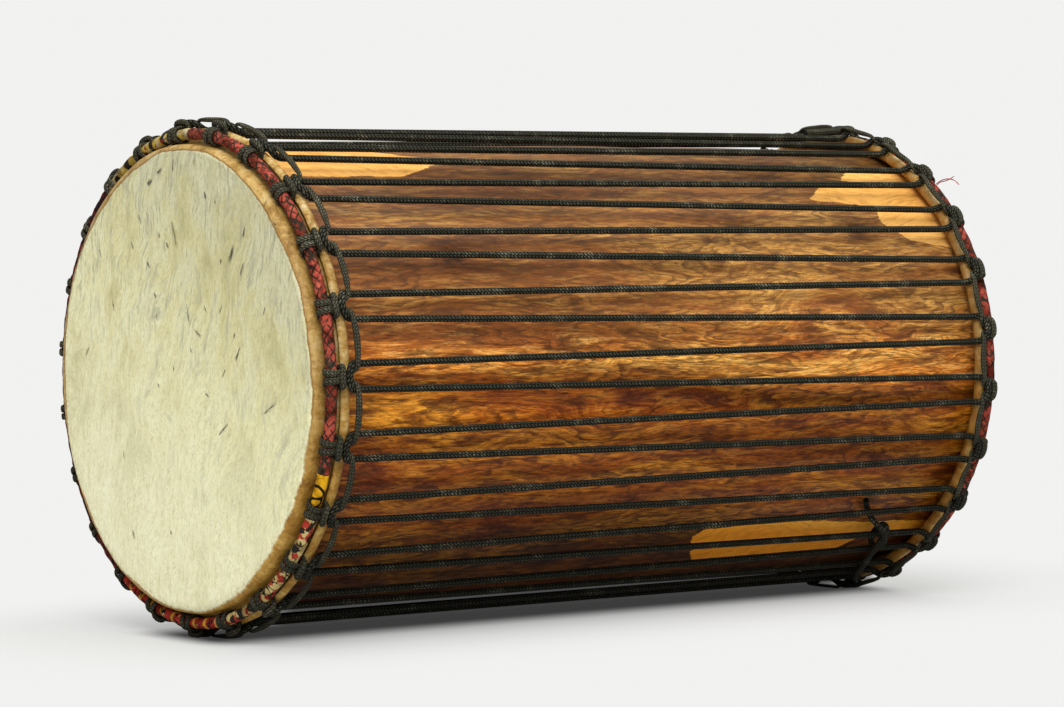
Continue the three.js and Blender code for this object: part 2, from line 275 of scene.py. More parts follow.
def sweep(middle, facing, wide, thick, sides, closed, power=2.0):
    """Rings of points along a path. Each ring is a rounded section: across by wide cos(turn),
    out by thick sin(turn), both raised towards a rounded square where power is over 2."""
    if closed:
        along = np.roll(middle, -1, axis=0) - np.roll(middle, 1, axis=0)
    else:
        along = np.gradient(middle, axis=0)
    along = unit(along)
    across = unit(np.cross(along, facing))
    out = np.cross(across, along)
    cosine, sine = np.cos(turns(sides)), np.sin(turns(sides))
    swell = (np.abs(cosine) ** power + np.abs(sine) ** power) ** (-1 / power)
    x = (swell * cosine)[None, :, None] * wide[:, None, None]
    y = (swell * sine)[None, :, None] * thick[:, None, None]
    return middle[:, None, :] + across[:, None, :] * x + out[:, None, :] * y


def cord_piece(name, middle, facing, wide, thick, sides, closed, material, power=2.0):
    """A round or flattened cord as one tube, with U round it and V along it in metres."""
    rings = sweep(middle, facing, wide, thick, sides, closed, power)
    rings[..., 2] = np.maximum(rings[..., 2], 0.0)
    count = len(rings)
    steps = np.linalg.norm(np.diff(middle, axis=0), axis=1)
    if closed:
        steps = np.append(steps, np.linalg.norm(middle[0] - middle[-1]))
    lengths = np.concatenate([[0], np.cumsum(steps)]) * MM
    quads = grid_quads(count, sides, closed, True)
    uv = grid_uv(np.arange(sides + 1) / sides, lengths)
    return make_piece(name, rings, quads, material, () if closed else end_caps(count, sides), uv)


# Materials
def colour(code):
    """A colour written as six hexadecimal digits, in the linear light that shaders use."""
    values = np.array([int(code[k: k + 2], 16) for k in (0, 2, 4)]) / 255
    linear = np.where(values <= 0.04045, values / 12.92, ((values + 0.055) / 1.055) ** 2.4)
    return (*linear.tolist(), 1.0)


class Value:
    """What a node gives. Plus, minus, times and divide carry it on in Math nodes."""

    def __init__(self, finish, socket):
        self.finish = finish
        self.socket = socket

    def __add__(self, other):
        return self.finish.math("ADD", self, other)

    def __sub__(self, other):
        return self.finish.math("SUBTRACT", self, other)

    def __rsub__(self, other):
        return self.finish.math("SUBTRACT", other, self)

    def __mul__(self, other):
        return self.finish.math("MULTIPLY", self, other)

    def __truediv__(self, other):
        return self.finish.math("DIVIDE", self, other)

    def __abs__(self):
        return self.finish.math("ABSOLUTE", self)


class Finish:
    """A material, with short ways to add and join its nodes."""

    def __init__(self, name):
        self.material = bpy.data.materials.new(name)
        self.material.use_nodes = True
        self.tree = self.material.node_tree
        self.tree.nodes.clear()
        self.shader = self.tree.nodes.new("ShaderNodeBsdfPrincipled")
        self.output = self.tree.nodes.new("ShaderNodeOutputMaterial")
        self.tree.links.new(self.shader.outputs["BSDF"], self.output.inputs["Surface"])

    def put(self, target, value):
        """Sets a socket to a number or colour, or joins a node's value to it."""
        if isinstance(value, Value):
            self.tree.links.new(value.socket, target)
        else:
            target.default_value = colour(value) if isinstance(value, str) else value

    def node(self, kind, give, inputs, **settings):
        """Adds a node with its settings and inputs, and returns one of the values that it gives."""
        node = self.tree.nodes.new(kind)
        for key, setting in settings.items():
            setattr(node, key, setting)
        for key, value in inputs.items():
            self.put(node.inputs[key], value)
        return Value(self, node.outputs[give])

    def math(self, operation, a, b=0.0, clamp=False):
        return self.node("ShaderNodeMath", 0, {0: a, 1: b}, operation=operation, use_clamp=clamp)

    def place(self):
        return self.node("ShaderNodeTexCoord", "Object", {})

    def uv(self):
        """The share of the way round a cord or ring, and the way along it in metres."""
        u, v, _ = self.split(self.node("ShaderNodeTexCoord", "UV", {}))
        return u, v

    def field(self, name, output="Fac"):
        return self.node("ShaderNodeAttribute", output, {}, attribute_name=name)

    def split(self, vector):
        node = self.tree.nodes.new("ShaderNodeSeparateXYZ")
        self.put(node.inputs[0], vector)
        return [Value(self, socket) for socket in node.outputs]

    def join(self, x, y, z=0.0):
        return self.node("ShaderNodeCombineXYZ", 0, {0: x, 1: y, 2: z})

    def shift(self, vector, by):
        return self.node("ShaderNodeVectorMath", "Vector", {0: vector, 1: by}, operation="ADD")

    def scale(self, vector, by):
        return self.node("ShaderNodeVectorMath", "Vector", {0: vector, "Scale": by}, operation="SCALE")

    def length(self, vector):
        return self.node("ShaderNodeVectorMath", "Value", {0: vector}, operation="LENGTH")

    def noise(self, place, scale, detail=3.0, rough=0.5, warp=0.0):
        """A noise of a place. Its scale is one number, or one for each axis."""
        if isinstance(scale, tuple):
            place = self.node("ShaderNodeMapping", 0, {"Vector": place, "Scale": scale})
            scale = 1.0
        inputs = {"Vector": place, "Scale": scale, "Detail": detail, "Roughness": rough, "Distortion": warp}
        return self.node("ShaderNodeTexNoise", "Fac", inputs)

    def span(self, value, low, high, to_low=0.0, to_high=1.0, smooth=True):
        """Carries low..high to to_low..to_high, and holds the ends."""
        inputs = {"Value": value, "From Min": low, "From Max": high, "To Min": to_low, "To Max": to_high}
        kind = "SMOOTHSTEP" if smooth else "LINEAR"
        return self.node("ShaderNodeMapRange", "Result", inputs, interpolation_type=kind)

    def ramp(self, value, *stops):
        """Colours by value. Each stop is a place and a colour."""
        node = self.tree.nodes.new("ShaderNodeValToRGB")
        elements = node.color_ramp.elements
        while len(elements) < len(stops):
            elements.new(0.5)
        for element, (at, code) in zip(elements, stops):
            element.position = at
            element.color = colour(code)
        self.put(node.inputs["Fac"], value)
        return Value(self, node.outputs["Color"])

    def mix(self, share, a, b, blend="MIX"):
        """Two colours mixed. A Mix node's own colours are its inputs 6 and 7 and its output 2."""
        inputs = {"Factor": share, 6: a, 7: b}
        return self.node("ShaderNodeMix", 2, inputs, data_type="RGBA", blend_type=blend)

    def tint(self, base, over, share=1.0):
        """The base, and over it by a share the base times another colour."""
        return self.mix(share, base, over, "MULTIPLY")

    def bump(self, height, distance, strength):
        inputs = {"Height": height, "Distance": distance, "Strength": strength}
        return self.node("ShaderNodeBump", "Normal", inputs)

    def finish(self, base, roughness, normal=None, specular=0.5, metal=0.0):
        self.put(self.shader.inputs["Base Color"], base)
        self.put(self.shader.inputs["Roughness"], roughness)
        if normal is not None:
            self.put(self.shader.inputs["Normal"], normal)
        self.put(self.shader.inputs["Specular IOR Level"], specular)
        self.put(self.shader.inputs["Metallic"], metal)
        return self.material


def hardwood_finish():
    """Figured heartwood with pale sapwood. The vector field 'grain' holds the place along, the
    depth in the log's growth rings and a third direction. The vector field 'tone' holds how
    orange the wood is, how much a painted sheen greys it and how smoky it is, 'painted_light' is
    the painted light and shade over the drum, and 'sapwood' is positive inside the pale patches.
    A growth ring darkens slowly towards its line and ends there at once."""
    f = Finish("figured_hardwood")
    place = f.place()
    x, depth, third = f.split(f.field("grain", "Vector"))
    # Tone with a painted sheen, and painted light and shade, from fields on the shell
    ember, painted_sheen, smoke = f.split(f.field("tone", "Vector"))
    painted_light = f.field("painted_light")
    curl = f.noise(place, (12, 55, 55), 3, 0.5)
    ripple = f.noise(place, (45, 190, 190), 2, 0.5)
    bent = (curl - 0.5) * 0.0030 + (ripple - 0.5) * 0.0007
    depth = depth + bent
    flow = f.join(x, depth, third)
    bands = f.noise(flow, (3, 190, 5), 4, 0.55)
    clouds = f.noise(place, (7, 24, 24), 3, 0.55)
    fine = f.noise(flow, (75, 3200, 110), 3, 0.65)
    fibre = f.noise(place, (85, 900, 900), 3, 0.7)
    flecks = f.noise(flow, (170, 3600, 260), 2, 0.5)
    strength = f.noise(flow, (9, 520, 12), 2, 0.5)
    wander = f.noise(flow, (5, 330, 7), 2, 0.5)
    phase = depth / (line_step * MM) + wander * 4.5
    ring = f.math("FRACT", phase)
    late = f.span(ring, 0.40, 0.92) * f.span(ring, 0.94, 1, 1, 0)
    late = late * f.span(strength, 0.42, 0.66, 0.05, 1)
    streaks = f.noise(flow, (24, 1000, 34), 3, 0.62)

    # Stains, curls and the dark lines of the whirls follow the bent grain
    bent_place = f.shift(place, f.join(0, bent * 3, 0))
    stains = f.noise(bent_place, (24, 120, 120), 4, 0.62) + (fibre - 0.5) * 0.32
    figure = f.noise(bent_place, (26, 200, 200), 4, 0.60)
    swirl = f.noise(bent_place, (7, 38, 38), 4, 0.44)
    patchy = f.noise(bent_place, (14, 48, 48), 3, 0.6)
    contour = f.math("FRACT", swirl * 15 + phase * 0.10)
    loops = f.span(contour, 0.30, 0.90) * f.span(contour, 0.93, 1, 1, 0)
    loops = loops * f.span(patchy, 0.38, 0.56, 0.30, 1)
    base = f.ramp(bands * 0.72 + clouds * 0.28,
                  (0.40, "9c5a22"), (0.47, "b97530"), (0.53, "d39645"), (0.60, "ecb75f"))
    base = f.mix(late * 0.40, base, "4a2a14")
    base = f.mix(loops * 0.72, base, "4a2410")
    base = f.tint(base, f.ramp(streaks, (0.34, "a98a6c"), (0.44, "dccab4"), (0.53, "ffffff")), 0.8)
    base = f.mix(f.span(figure, 0.37, 0.45, 0.60, 0), base, "5c3014")
    base = f.mix(f.span(figure, 0.54, 0.61, 0, 0.30), base, "f0bd6c")
    base = f.mix(f.span(stains, 0.56, 0.63, 0, 0.66), base, "47270f")
    grain = f.ramp(fine, (0.32, "a3907f"), (0.48, "ece4dc"), (0.6, "ffffff"))
    base = f.tint(base, grain, 0.75)
    base = f.tint(base, f.ramp(fibre, (0.30, "a8937c"), (0.45, "e2d6c6"), (0.58, "fffdf8")))
    base = f.mix(f.span(flecks, 0.59, 0.68, 0, 0.5), base, "4a2c1a")

    # Tone over the whole drum: orange below, a painted sheen that greys the top, painted light and shade
    # round the drum, and smoky patches
    base = f.tint(base, "ffe494", ember)
    base = f.mix(painted_sheen * 0.36, base, "845f3e")
    base = f.scale(base, painted_light)
    cloudy = f.noise(place, (17, 42, 42), 4, 0.6)
    smoky = f.math("MULTIPLY", f.span(cloudy, 0.34, 0.60), smoke, clamp=True)
    base = f.tint(base, "80705f", smoky)

    # Sapwood
    ragged = f.noise(place, (50, 190, 190), 3, 0.6)
    inside = f.field("sapwood") + (ragged - 0.5) * 0.009
    pale = f.ramp(bands, (0.3, "e4a045"), (0.5, "edaf57"), (0.7, "f3ba66"))
    pale = f.mix(late * 0.25, pale, "bd7c32")
    pale = f.tint(pale, grain, 0.5)
    pale = f.tint(pale, "fff6a8", ember)
    # Painted shade: the sapwood turns warmer where the painted light is low
    pale = f.tint(pale, "ffe6b4", ember * f.span(painted_light, 0.40, 0.70, 1, 0))
    base = f.mix(f.span(inside, -0.0004, 0.0006), base, pale)
    rough = f.span(fine, 0.25, 0.75, 0.50, 0.40)
    normal = f.bump(fine - late * 0.25, 0.0002, 0.35)
    return f.finish(base, rough, normal, specular=f.span(painted_light, 0.30, 1, 0.03, 0.16))


def hide_finish():
    """Goat hide: short cropped hair inside the hairline, and bare rawhide outside it. The field
    'bare' is how far a place lies outside the hairline along the skin."""
    f = Finish("goat_hide")
    place = f.place()
    x, y, z = f.split(place)
    up = z - floor_radius * MM
    around = f.math("ARCTAN2", y, up * -1) * (shell_radius * MM)
    tatter = f.noise(place, 260, 3, 0.65) - 0.5
    low = f.span(up, -0.09, 0.01, 1, 0)
    edge = f.field("bare") + tatter * (low * 0.0028 + 0.0022)
    bare = f.span(edge, 0, low * 0.0022 + 0.0006)
    ridge = f.span(abs(edge - 0.0008), 0.0002, 0.0011, 1, 0) * (1 - low)

    # Hair: it leans a little, and its tone drifts from bright below to grey above, a painted light and shade
    # over the head; its clouds, smudges and dark streaks grow stronger where that painted shade lies
    bend = (f.noise(place, 9, 4, 0.5) - 0.5) * 0.075
    lie = f.join(x, y + (up * 0.14 + bend), up)
    strands = f.noise(lie, (120, 1150, 170), 3, 0.6)
    wisps = f.noise(lie, (60, 270, 70), 4, 0.6)
    clouds = f.noise(lie, (10, 26, 14), 5, 0.6)
    grain = f.noise(lie, (300, 800, 420), 2, 0.6)
    drift = up * 0.8 - y * 0.45 + (clouds - 0.5) * 0.30
    hair = f.ramp(drift + 0.5, (0.40, "fffedc"), (0.52, "f4f2c8"), (0.64, "d9d7b4"))
    cloudy = f.ramp(clouds, (0.34, "d9d4c0"), (0.45, "f4f0e4"), (0.56, "ffffff"))
    hair = f.tint(hair, cloudy, f.span(up, -0.12, 0.06, 0.4, 1))
    hair = f.tint(hair, f.ramp(wisps, (0.34, "f2f0e7"), (0.46, "fcfbf7"), (0.56, "ffffff")))
    hair = f.tint(hair, f.ramp(strands, (0.34, "f3f1e9"), (0.46, "fcfbf8"), (0.56, "ffffff")))
    hair = f.tint(hair, f.ramp(grain, (0.34, "e8e5dc"), (0.52, "ffffff")), 0.75)
    smudge = f.noise(lie, (40, 75, 30), 4, 0.65)
    greyed = f.span(smudge, 0.50, 0.68) * f.span(drift, -0.10, 0.10, 0.15, 1)
    hair = f.mix(greyed * 0.5, hair, "a7a48c")
    # Dark streaks, stronger towards the top with the painted shade
    dark_streaks = f.noise(lie, (150, 400, 52), 3, 0.6)
    dark_streaks = f.span(dark_streaks, 0.53, 0.66) * f.span(up, -0.04, 0.12, 0.05, 0.62)
    hair = f.mix(dark_streaks * f.span(clouds, 0.40, 0.56, 0.25, 1), hair, "8c8b76")

    # Rawhide: mottled and scratched. Over the flesh ring it takes a lit copy with painted highlights and a
    # painted shade on the cover's inner side
    creases = f.noise(f.join(around * 330, x * 70), 1, 3, 0.65)
    blotch = f.noise(place, 62, 4, 0.66)
    grit = f.noise(place, 300, 3, 0.7)
    scratch = f.noise(place, (150, 150, 520), 2, 0.5, 1.2)
    raw = f.ramp(blotch, (0.32, "86632a"), (0.45, "a68343"), (0.56, "bb9a59"), (0.70, "d0b57e"))
    raw = f.mix(f.span(creases, 0.32, 0.48, 0.40, 0), raw, "85582a")
    raw = f.mix(f.span(grit, 0.52, 0.66, 0, 0.32), raw, "d2b47a")
    raw = f.mix(f.span(grit, 0.36, 0.48, 0.40, 0), raw, "7c5a2c")
    raw = f.mix(f.span(scratch, 0.61, 0.68, 0, 0.25), raw, "dcc48c")
    inward = crown_plane * MM - abs(x)
    lit = f.ramp(f.noise(place, 105, 4, 0.68),
                 (0.34, "94702c"), (0.46, "bc974e"), (0.57, "d6b976"), (0.68, "efdfae"))
    lit = f.mix(f.span(creases, 0.32, 0.50, 0.6, 0), lit, "8a5a1c")
    lit = f.mix(f.span(grit, 0.54, 0.68, 0, 0.5), lit, "f0e0b0")
    # Painted shade on the inner side of the flesh ring's cover
    lit = f.mix(f.span(inward, flesh_place * MM, (flesh_place + 4) * MM, 0, 0.6), lit, "96611f")
    raw = f.mix(f.span(inward, 0.0045, 0.0075), raw, lit)
    raw = f.tint(raw, "fff0c0", f.span(up, -0.11, 0.04, 1, 0))
    raw = f.tint(raw, "e0d8cc", f.span(y, -0.17, -0.09, 0.6, 0))
    # Painted shade, with dirt, where the collar runs under the crown ring
    raw = f.mix(f.span(inward, -0.0035, 0.0035, 0, 0.28), raw, "6e4a1d")

    base = f.mix(bare, hair, raw)
    # A brown line along the upper hairline: the curled edge's own colour with a painted shadow under it
    base = f.mix(ridge * 0.8, base, "8a6430")
    rough = (f.span(creases, 0.3, 0.7, 0.6, 0.38, smooth=False) - 0.8) * bare + 0.8
    fur = strands * 0.4 + (wisps * 0.8 + grain * 0.1)
    worn = creases * 0.7 + (blotch + grit * 0.5)
    relief = (1 - bare) * fur + bare * worn + ridge * 0.8
    normal = f.bump(relief, f.span(bare, 0, 1, 0.0003, 0.0009), 0.55)
    return f.finish(base, rough, normal, specular=0.2)


def braid_height(f, pitch):
    """Columns of slanted strands round the cord: a strand's height is a smooth bump of its phase,
    and its phase is V / pitch plus a share of the way across the column."""
    u, v = f.uv()
    uneven = f.noise(f.place(), 240, 2, 0.5) * 0.5
    turned = u * 6
    phase = v / pitch + (f.math("FRACT", turned) * 0.72 + uneven)
    ridge = f.math("PINGPONG", phase, 0.5) * 2
    groove = f.span(f.math("PINGPONG", turned, 0.5), 0, 0.2)
    return f.span(ridge, 0.05, 0.85) * groove


def cord_finish(name, dark, light, worn, pitch, wear_from, relief):
    """A braided cord: dark between its strands, lighter on them, a painted shade in the grooves
    and painted light on the strands, and paler where it is worn. It darkens towards the floor,
    a painted shade.
    """
    f = Finish(name)
    height = braid_height(f, pitch)
    place = f.place()
    wear = f.noise(place, 45, 4, 0.65)
    speck = f.noise(place, 900, 2, 0.6)
    base = f.mix(height * f.span(speck, 0.30, 0.68, 0.45, 1), dark, light)
    rubbed = height * f.span(wear, wear_from, wear_from + 0.2)
    base = f.mix(rubbed * f.span(speck, 0.40, 0.60), base, worn)
    _, _, z = f.split(place)
    # Painted shade: the cord darkens towards the floor
    base = f.scale(base, f.span(z, 0.04, 0.30, 0.62, 0.95, smooth=False))
    return f.finish(base, 0.85, f.bump(height + speck * 0.4, relief, 0.8), specular=0.08)


def cloth_base(f):
    """The woven relief, the dirt that every cloth shares and a painted shade along the edges of
    the winding: its normal, and how much dirt and painted shade darken it.
    """
    u, v = f.uv()
    place = f.place()
    weave = f.noise(place, 760, 2, 0.55)
    wound = f.math("FRACT", v / (winding_pitch * MM) + u)
    seam = f.span(f.math("PINGPONG", wound, 0.5), 0, 0.05, 1, 0)
    grime = f.noise(place, 75, 4, 0.65)
    # Dirt, and painted shade at the edges of each turn of the winding
    dirt_and_seam_shade = f.math("MAXIMUM", f.span(grime, 0.44, 0.64, 0, 0.85), seam * 0.6)
    return f.bump(weave + grime * 1.5 - seam * 0.8, 0.0006, 0.6), dirt_and_seam_shade


def lattice_print(f, cell):
    """Crossed slanted lines, broken here and there: 1 on a line and 0 between them."""
    u, v = f.uv()
    lines = []
    for lean in (4, -4):
        slant = v / (cell * MM) + u * lean
        lines.append(f.span(f.math("PINGPONG", slant, 0.5), 0.07, 0.17, 1, 0))
    return f.math("MAXIMUM", *lines) * f.span(f.noise(f.place(), 170, 3, 0.6), 0.36, 0.50)


def blotch_print(f, scale, low, high):
    """Round-edged blotches: 1 where a noise is over a threshold."""
    return f.span(f.noise(f.place(), scale, 2, 0.4, 0.6), low, high)


def line_print(f, scale, wide):
    """A winding line, where a noise passes through its middle: 1 on the line."""
    away = abs(f.noise(f.place(), scale, 1, 0.4) - 0.5)
    return f.span(away, wide * 0.5, wide, 1, 0)


def band_print(f, length, share):
    """Bands across the winding: 1 over the given share of each length."""
    _, v = f.uv()
    part = f.math("FRACT", v / (length * MM) + f.noise(f.place(), 130, 2, 0.5) * 0.5)
    return f.span(part, share, share + 0.04, 1, 0)


def cloth_finish(look, ground, *prints):
    """A printed cotton. Each print is a kind, its sizes and a colour, laid on what is below it."""
    f = Finish(f"cloth_{look}")
    normal, dirt_and_seam_shade = cloth_base(f)
    base = ground
    for kind, *sizes, ink in prints:
        base = f.mix(kind(f, *sizes), base, ink)
    return f.finish(f.tint(base, "8a7a66", dirt_and_seam_shade), 0.9, normal, specular=0.1)


def steel_finish():
    f = Finish("ring_steel")
    rust = f.noise(f.place(), 120, 4, 0.6)
    base = f.ramp(rust, (0.35, "4a4541"), (0.6, "6b6058"), (0.8, "5c3a28"))
    return f.finish(base, f.span(rust, 0.3, 0.8, 0.35, 0.7), f.bump(rust, 0.0003, 0.4), metal=0.9)


def hair_finish(name, code, tip):
    """Loose hairs or threads, varied from one to the next by a noise of their place."""
    f = Finish(name)
    vary = f.noise(f.place(), 300, 2, 0.5)
    return f.finish(f.mix(f.span(vary, 0.35, 0.65), code, tip), 0.7, specular=0.2)


hardwood = hardwood_finish()
hide = hide_finish()
rope_black = cord_finish("rope_braid", "050504", "4b4b3d", "8a8770", 0.0034, 0.50, 0.0008)
cord_olive = cord_finish("cradle_braid", "24231b", "5a5847", "7f7a63", 0.0027, 0.47, 0.0005)
ring_steel = steel_finish()
dark_hair = hair_finish("dark_hair", "97947f", "636154")
pale_hair = hair_finish("pale_hair", "d6cfae", "b9ad88")
red_thread = hair_finish("red_thread", "8c2c22", "b8503a")


# Shell
outside_rows = 210


def shell_profile():
    """The closed outline of the shell's wall as (radius, along): outside, over the rounded
    edge and down the slanted bearing edge at each end, and back along the bore."""
    half = drum_length / 2 - skin_thick - seat_gap
    share = np.linspace(-1, 1, outside_rows)
    side = half - edge_round
    outside = columns(shell_radius + shell_swell * (1 - share ** 2), share * side)
    turn = np.linspace(0, np.pi / 2, 7)[1:]
    crest = shell_radius - edge_round
    corner = columns(crest + edge_round * np.cos(turn), side + edge_round * np.sin(turn))
    bore = shell_radius - shell_wall
    slope = np.array([[crest - edge_land, half], [bore, half - edge_depth]])
    end = np.concatenate([corner, slope])
    back = np.linspace(half - edge_depth, edge_depth - half, 26)[1:-1]
    inside = columns(bore, back)
    return np.concatenate([outside, end, inside, (end * [1, -1])[::-1]])


# Swells of the growth rings: place along, degrees from the lowest line, height, reach along and round
swells = [
    (180, -107, 6.0, 70, 24), (178, -116, 3.0, 22, 13), (60, -80, -5.0, 36, 20), (130, -93, -3.5, 60, 14),
    (250, -84, 4.5, 60, 20), (-60, -80, -3.0, 60, 14), (-120, -112, 3.0, 44, 12), (-20, -118, -3.5, 50, 12),
    (40, -116, -3.0, 26, 9), (-210, -84, 3.0, 60, 16), (-40, -62, 2.5, 70, 14), (200, -62, -2.5, 60, 14),
    (-150, 60, 5.0, 60, 22), (120, 85, -5.0, 60, 20), (40, 130, 4.0, 50, 18), (-60, 165, 4.0, 70, 20),
]

# The patch of ripples: place along, degrees from the lowest line, reach along and round
ripple_patch = (85, -120, 28, 34.485)

# Knots: place along, degrees, half length and half width of the eye, and the rings in it
knots = [
    (-90, -99.5, 30, 11, 2.6), (287, -97, 26, 10, 3.0), (90, -82, 15, 8, 2.0), (20, -124, 9, 5, 2.0),
    (-12, -117.5, 6, 4.5, 1.2), (95, -126, 10, 7, 2.0), (228, -131, 9, 5, 2.0), (-175, -127, 22, 8, 2.0),
    (235, -106, 8, 4, 1.0), (70, -104, 9, 4, 1.2), (150, 110, 26, 11, 3.0), (-210, 120, 12, 6, 2.0),
    (-80, 75, 22, 9, 3.0), (240, 60, 14, 7, 2.0), (20, 30, 20, 9, 3.0), (90, 168, 24, 10, 3.0),
]

# Painted light and shade on the wood by degrees from the lowest line, and how much its tones wander
light_degrees = [20, 41, 51, 60, 68, 76, 84, 92, 99, 110, 118, 127, 136, 153, 180]
light_levels = [0.24, 0.46, 0.74, 1.04, 1.14, 0.76, 1.32, 0.58, 1.84, 1.40, 1.12, 0.94, 0.98, 0.60, 0.56]
light_waves = 0.12
tone_drift_degrees = 4
smoke_strength = 1.25

# Smoky patches: place along, degrees, strength, reach along and round
smoky_patches = [
    (-205, -121, 1.0, 58, 15), (-110, -124, 0.45, 60, 10), (30, -119, 0.6, 55, 10), (85, -131, 0.75, 45, 16),
    (228, -129, 1.0, 22, 11), (-20, -149, 0.6, 110, 9), (150, -150, 0.7, 60, 8), (-200, -140, 0.35, 70, 12),
    (0, -38, 0.8, 260, 22), (-190, -46, 0.7, 120, 14), (45, -72, 0.5, 20, 12), (-120, 95, 0.9, 70, 22),
    (190, 135, 0.8, 60, 20), (60, 50, 0.7, 80, 20), (-260, 165, 0.6, 60, 18),
]

# Outlines of the sapwood patches, as places along and degrees from the lowest line
sapwood_patches = [
    [(-345, -149.5), (-260, -150), (-205, -149.5), (-180, -152.2), (-160, -155.5), (-150, -158),
     (-165, -161), (-200, -166), (-260, -172), (-345, -176)],
    [(345, -122), (312, -123.5), (285, -125.5), (274, -128), (262, -131.5), (266, -135), (248, -138),
     (205, -139), (198, -140.5), (212, -142.5), (222, -145.5), (262, -148), (256, -149.5), (268, -152),
     (290, -155), (345, -156)],
    [(68, -41.5), (75, -44), (100, -44.8), (135, -45.6), (190, -44.8), (230, -43.5), (270, -42.4),
     (345, -41), (345, -36.5), (268, -35.5), (250, -28), (190, -26.5), (130, -26), (95, -28), (90, -31),
     (80, -34.5), (84, -36.5), (72, -39)],
    [(-345, 68), (-250, 70), (-215, 76), (-232, 80), (-180, 84), (-205, 91), (-270, 94), (-345, 97)],
]


def open_depth(along, angle):
    """Depth in the log's growth rings without its knots: the height over a plane through the
    pith, bent by slow waves, by a patch of ripples and by swells."""
    depth = growth_reach * np.cos(angle + np.radians(growth_lean_degrees))
    depth = depth + 2.0 * wave_sum(7, 5, along / 140, *circle(angle, 2.2))
    depth = depth + wave_sum(9, 8, along / 40, *circle(angle, 7))
    ripples = 0.5 * bell(along, angle, *ripple_patch) * np.sin(along / 3.1 + 3 * np.sin(angle * 12))
    depth = depth + ripples
    for middle, degrees, height, reach_along, reach_round in swells:
        depth = depth + height * bell(along, angle, middle, degrees, reach_along, reach_round)
    return depth


def growth_depth(along, angle):
    """Depth in the growth rings with the knots: the rings part round each eye, and run round it
    inside. Outside an eye the depth is middle + (depth - middle) (1 - exp(1 - reach^2))."""
    depth = open_depth(along, angle)
    for place_along, degrees, half_long, half_wide, rings in knots:
        long = (along - place_along) / half_long
        wide = turned_from(angle, degrees) * shell_radius / half_wide
        reach = np.sqrt(long ** 2 + wide ** 2) * (1 + 0.16 * wave_sum(6, 9, long * 2, wide * 2))
        middle = open_depth(np.float64(place_along), np.radians(degrees))
        parted = middle + (depth - middle) * (1 - np.exp(1 - np.maximum(reach, 1) ** 2))
        eye = middle + rings * eye_ring_step * np.maximum(1 - reach, 0) ** 0.8
        depth = np.where(reach > 1, parted, eye)
    return depth


def patch_depth(along, angle, outline):
    """How far a place lies inside a closed outline, in millimetres, negative outside: the distance
    to the nearest side, signed by how often a line from the place crosses the outline."""
    x, y = np.broadcast_arrays(along, angle * shell_radius)
    corners = np.array([(a, np.radians(d) * shell_radius) for a, d in outline])
    nearest = np.full(x.shape, np.inf)
    inside = np.zeros(x.shape, bool)
    for (x0, y0), (x1, y1) in zip(corners, np.roll(corners, -1, axis=0)):
        wide, high = x1 - x0, y1 - y0
        share = np.clip(((x - x0) * wide + (y - y0) * high) / (wide ** 2 + high ** 2), 0, 1)
        nearest = np.minimum(nearest, np.hypot(x - x0 - share * wide, y - y0 - share * high))
        if high != 0:
            inside ^= ((y0 > y) != (y1 > y)) & (x < x0 + (y - y0) * wide / high)
    return np.where(inside, nearest, -nearest)


def wood_tones_and_painted_light(along, angle):
    """How orange the wood is, how much a painted sheen greys it, how smoky it is, and its
    painted light and shade. The painted sheen lies over the top and the orange over the lower
    half, and each side has a band of painted light at mid height."""
    drift = tone_drift_degrees * wave_sum(6, 71, along / 120, *circle(angle, 3))
    degrees = np.degrees(np.abs(angle)) + drift
    ember = np.interp(degrees, [91, 100], [1.0, 0.0])
    # A painted sheen greys the top, and painted light and shade vary round the drum
    painted_sheen = np.interp(degrees, [101, 116, 140], [0.0, 0.75, 1.0])
    painted_light = np.interp(degrees, light_degrees, light_levels)
    painted_light = painted_light * (1 + light_waves * wave_sum(6, 72, along / 60, *circle(angle, 5)))
    smoke = 0 * degrees
    for middle, patch_degrees, strength, reach_along, reach_round in smoky_patches:
        patch = bell(along, angle, middle, patch_degrees, reach_along, reach_round)
        smoke = np.maximum(smoke, smoke_strength * strength * patch)
    return ember, painted_sheen, smoke, painted_light


def make_shell():
    around = 280
    profile = shell_profile()
    angle = turns(around)[None, :]
    angle = np.where(angle > np.pi, angle - TURN, angle)
    radius = profile[:, :1] + 0 * angle
    along = profile[:, 1:] + 0 * angle
    outside = np.arange(len(profile))[:, None] < outside_rows
    lift = carving_height * wave_sum(8, 3, along / 70, *circle(angle, 3))
    points = drum_point(along, angle, radius + np.where(outside, lift, 0))
    depth = growth_depth(along, angle) + growth_share_of_wall * (radius - shell_radius)
    third = third_share_of_height * points[..., 2]
    grain = columns(along, depth, third).reshape(-1, 3) * MM
    ember, painted_sheen, smoke, painted_light = wood_tones_and_painted_light(along, angle)
    tone = columns(ember, painted_sheen, smoke).reshape(-1, 3)
    sapwood = np.max([patch_depth(along, angle, outline) for outline in sapwood_patches], axis=0)
    sapwood = np.where(outside, sapwood, -shell_wall) * MM
    quads = grid_quads(len(profile), around, True, True)
    fields = {"grain": grain, "tone": tone, "painted_light": painted_light.ravel(), "sapwood": sapwood.ravel()}
    fit_piece(make_piece("shell_wood", points, quads, hardwood, fields=fields), "hardwood", "shell")


make_shell()


